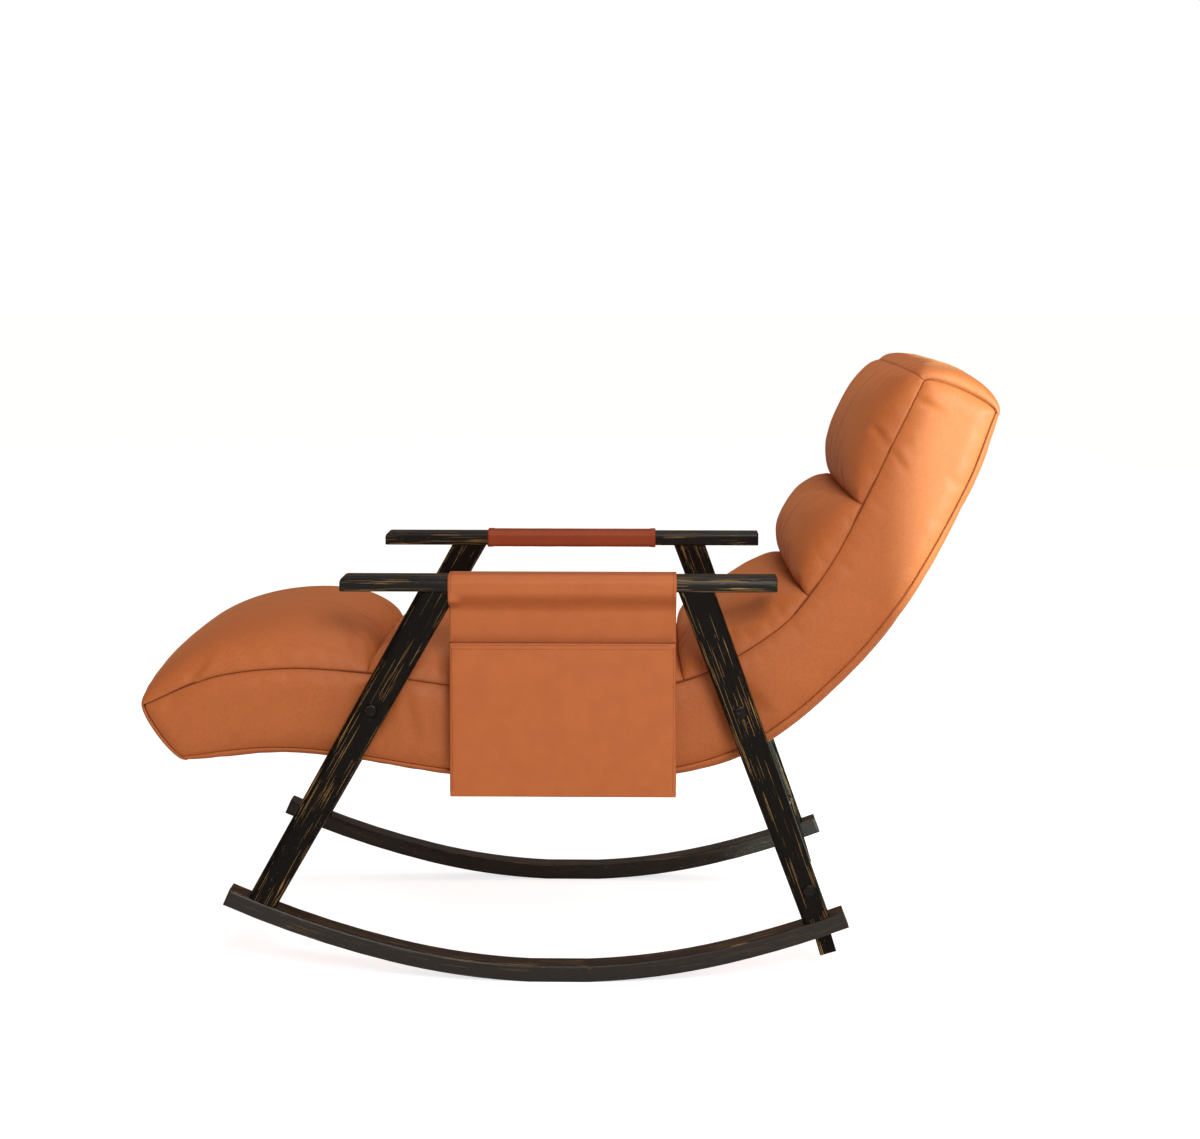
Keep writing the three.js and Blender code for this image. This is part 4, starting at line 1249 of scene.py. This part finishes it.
def pouchPiece():
    middleX = (bag["front"] + bag["rear"]) / 2
    rings = []
    for up in np.linspace(0, 1, pouch["rows"]) ** pouch["rowPower"]:
        ring = pouchRing(float(up))
        ring = resample(np.vstack([ring, ring[:1]]), pouch["columns"])[:-1]
        z = lerp(bag["pocketBottom"], bag["pocketTop"], up)
        rings.append(np.stack([ring[:, 0] + middleX, ring[:, 1] - arm["middle"],
                               np.full(len(ring), z)], axis=1))
    grid = np.array(rings)
    ahead = np.roll(grid, -1, axis=1) - np.roll(grid, 1, axis=1)
    out = np.stack([ahead[:, :, 1], -ahead[:, :, 0], 0 * ahead[:, :, 0]], axis=2)
    out /= np.maximum(np.linalg.norm(out, axis=2, keepdims=True), 1e-9)
    piece = sheetMesh("bagPouch", grid, out, pouch["thickness"], saddleLeather,
                      closedAcross=True)
    facingOut(piece.data, lambda work: closeBottom(work, *grid.shape[:2], middleX))
    return piece


pouchLeather = pouchPiece()
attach(pouchLeather, "bag")
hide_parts("bag_pocket")


# The leather between strap and pouch: it comes out of the strap's outer half with no step.
hanging = {
    "rows": 92, "columns": 34, "thickness": 2.2, "up": 22, "overlap": 12,
    "leaveUp": 6, "leaveOver": 44, "out": 1.5,      # where it leaves the strap's line
    "start": -0.5, "proud": 0.7,    # its upper edge is sunk in the strap, the rest is proud
    "bendMiddle": 6, "hingeDrop": 1.8,
}


def curtainPiece():
    share = np.linspace(0, 1, hanging["columns"])
    z = lerp(bag["meetHeight"] + hanging["up"], bag["pocketTop"] - hanging["overlap"], share)
    down = smooth((bag["meetHeight"] + hanging["leaveUp"] - z) / hanging["leaveOver"])
    proud = lerp(hanging["start"], hanging["proud"], smooth(share * 5))
    full = arm["width"] / 2 + bag["air"] + bag["thickness"]
    grid = []
    for x in np.linspace(bag["front"], bag["rear"], hanging["rows"]):
        hang = lerp(hangAt(z), full, legPush(x, z))
        lift = np.array([waveAt(x, level) for level in z]) + curlAt(x)
        y = -arm["middle"] - hang - proud + down * hanging["out"] - lift * (1 - down)
        grid.append(np.stack([np.full(len(z), x), y, z], axis=1))
    grid = np.array(grid)
    ahead = np.gradient(grid, axis=1)
    out = np.stack([0 * ahead[:, :, 0], ahead[:, :, 2], -ahead[:, :, 1]], axis=2)
    out /= np.linalg.norm(out, axis=2, keepdims=True)
    piece = sheetMesh("bagCurtain", grid, out, hanging["thickness"], saddleLeather)
    return piece


curtain = curtainPiece()
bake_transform(curtain)
print("stage: bag")


# Stitches: short rounded threads laid in a row

stitch = {
    "length": 3.2, "radius": 0.45, "gap": 1.1, "proud": 0.25,
    "rowDrops": (4, 10),            # of the pouch's two rows under its mouth
    "fromEdge": 4, "rowEnds": 5, "bottom": 8, "strapFromEdge": 4.5,
    "strapSpan": (20, -16),         # columns of the strap's line that its rows run along
    "rimRadius": 0.8, "rimEnds": 2,
}


def stitchMesh(name, rows, material):
    paths = []
    pitch = stitch["length"] + stitch["gap"]
    for path in rows:
        path = np.asarray(path, float)
        for number in range(int(lengthsAlong(path).sum() // pitch)):
            spots = np.linspace(number * pitch, number * pitch + stitch["length"], 4)
            paths.append(pointsAt(path, spots))
    return tubeMesh(name, paths, stitch["radius"], material, sides=5)


pouchFace = -arm["middle"] - bag["depth"] / 2


def bagStitchRows():
    front, rear, face = bag["front"], bag["rear"], pouchFace - stitch["proud"]
    rows = [[(front + stitch["rowEnds"], face, bag["pocketTop"] - drop),
             (rear - stitch["rowEnds"], face, bag["pocketTop"] - drop)]
            for drop in stitch["rowDrops"]]
    bottom, top = bag["pocketBottom"] + stitch["bottom"], bag["pocketTop"] - stitch["fromEdge"]
    return rows + [[(x, face + 0.05, bottom), (x, face + 0.05, top)]
                   for x in (front + stitch["fromEdge"], rear - stitch["fromEdge"])]


bagStitches = stitchMesh("bagStitches", bagStitchRows(), bagThread)
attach(bagStitches, "bag")

# a dark line along the pouch's mouth
rimEnds = bag["front"] + stitch["rimEnds"], bag["rear"] - stitch["rimEnds"]
rimLine = [(x, pouchFace - 0.1, bag["pocketTop"]) for x in np.linspace(*rimEnds, 60)]
rim = tubeMesh("bagRim", [rimLine], stitch["rimRadius"], rimLeather)
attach(rim, "bag")

strapRun = resample(strapLine(), bag["columns"])[slice(*stitch["strapSpan"])]
strapStitches = stitchMesh("strapStitches", [
    [(x, y, z) for y, z in strapRun]
    for x in (bag["front"] + stitch["strapFromEdge"], bag["rear"] - stitch["strapFromEdge"])
], bagThread)
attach(strapStitches, "chair")


# Sleeve on the right arm

sleeve = {
    "front": -143, "rear": 143, "thickness": 2.2, "air": 0.3, "hem": 9, "hemRise": 0.7,
    "wave": 0.35, "waveSizes": (45, 30, 30), "rows": 80, "columns": 120, "cornerSteps": 4,
}


# The sleeve's section: the arm's top with its sides, then its two lower corners.
def sleeveLoop():
    grow = sleeve["air"] + sleeve["thickness"]
    loop = [(-y, z) for y, z in armRound(grow)]
    half = arm["width"] / 2 + grow
    corner = arm["lower"] + grow
    low = arm["under"] - grow + corner
    for sign, start in ((1, 0), (-1, -90)):
        middle = arm["middle"] + sign * (half - corner)
        for step in range(sleeve["cornerSteps"] + 1):
            angle = math.radians(start - 90 * step / sleeve["cornerSteps"])
            loop.append((middle + corner * math.cos(angle), low + corner * math.sin(angle)))
    return resample(loop + loop[:1], sleeve["columns"])[:-1]


def sleevePiece():
    line = sleeveLoop()
    ahead = np.roll(line, -1, axis=0) - np.roll(line, 1, axis=0)
    normal = np.stack([-ahead[:, 1], ahead[:, 0]], axis=1)
    normal /= np.linalg.norm(normal, axis=1, keepdims=True)
    sizes = sleeve["waveSizes"]

    def sectionAt(x):
        edge = min(x - sleeve["front"], sleeve["rear"] - x)
        hem = sleeve["hemRise"] if edge < sleeve["hem"] else 0.0
        wave = [noise.noise(Vector((x / sizes[0], y / sizes[1], z / sizes[2]))) for y, z in line]
        return line, normal, hem + sleeve["wave"] * np.abs(wave)

    grid, out = sectionGrid(np.linspace(sleeve["front"], sleeve["rear"], sleeve["rows"]),
                            sectionAt)
    piece = sheetMesh("armSleeveLeather", grid, out, sleeve["thickness"], sleeveHideAndShade,
                      closedAcross=True)
    return piece


sleeveLeather = sleevePiece()
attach(sleeveLeather, "chair")
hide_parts("arm_sleeve")
print("stage: sleeve")
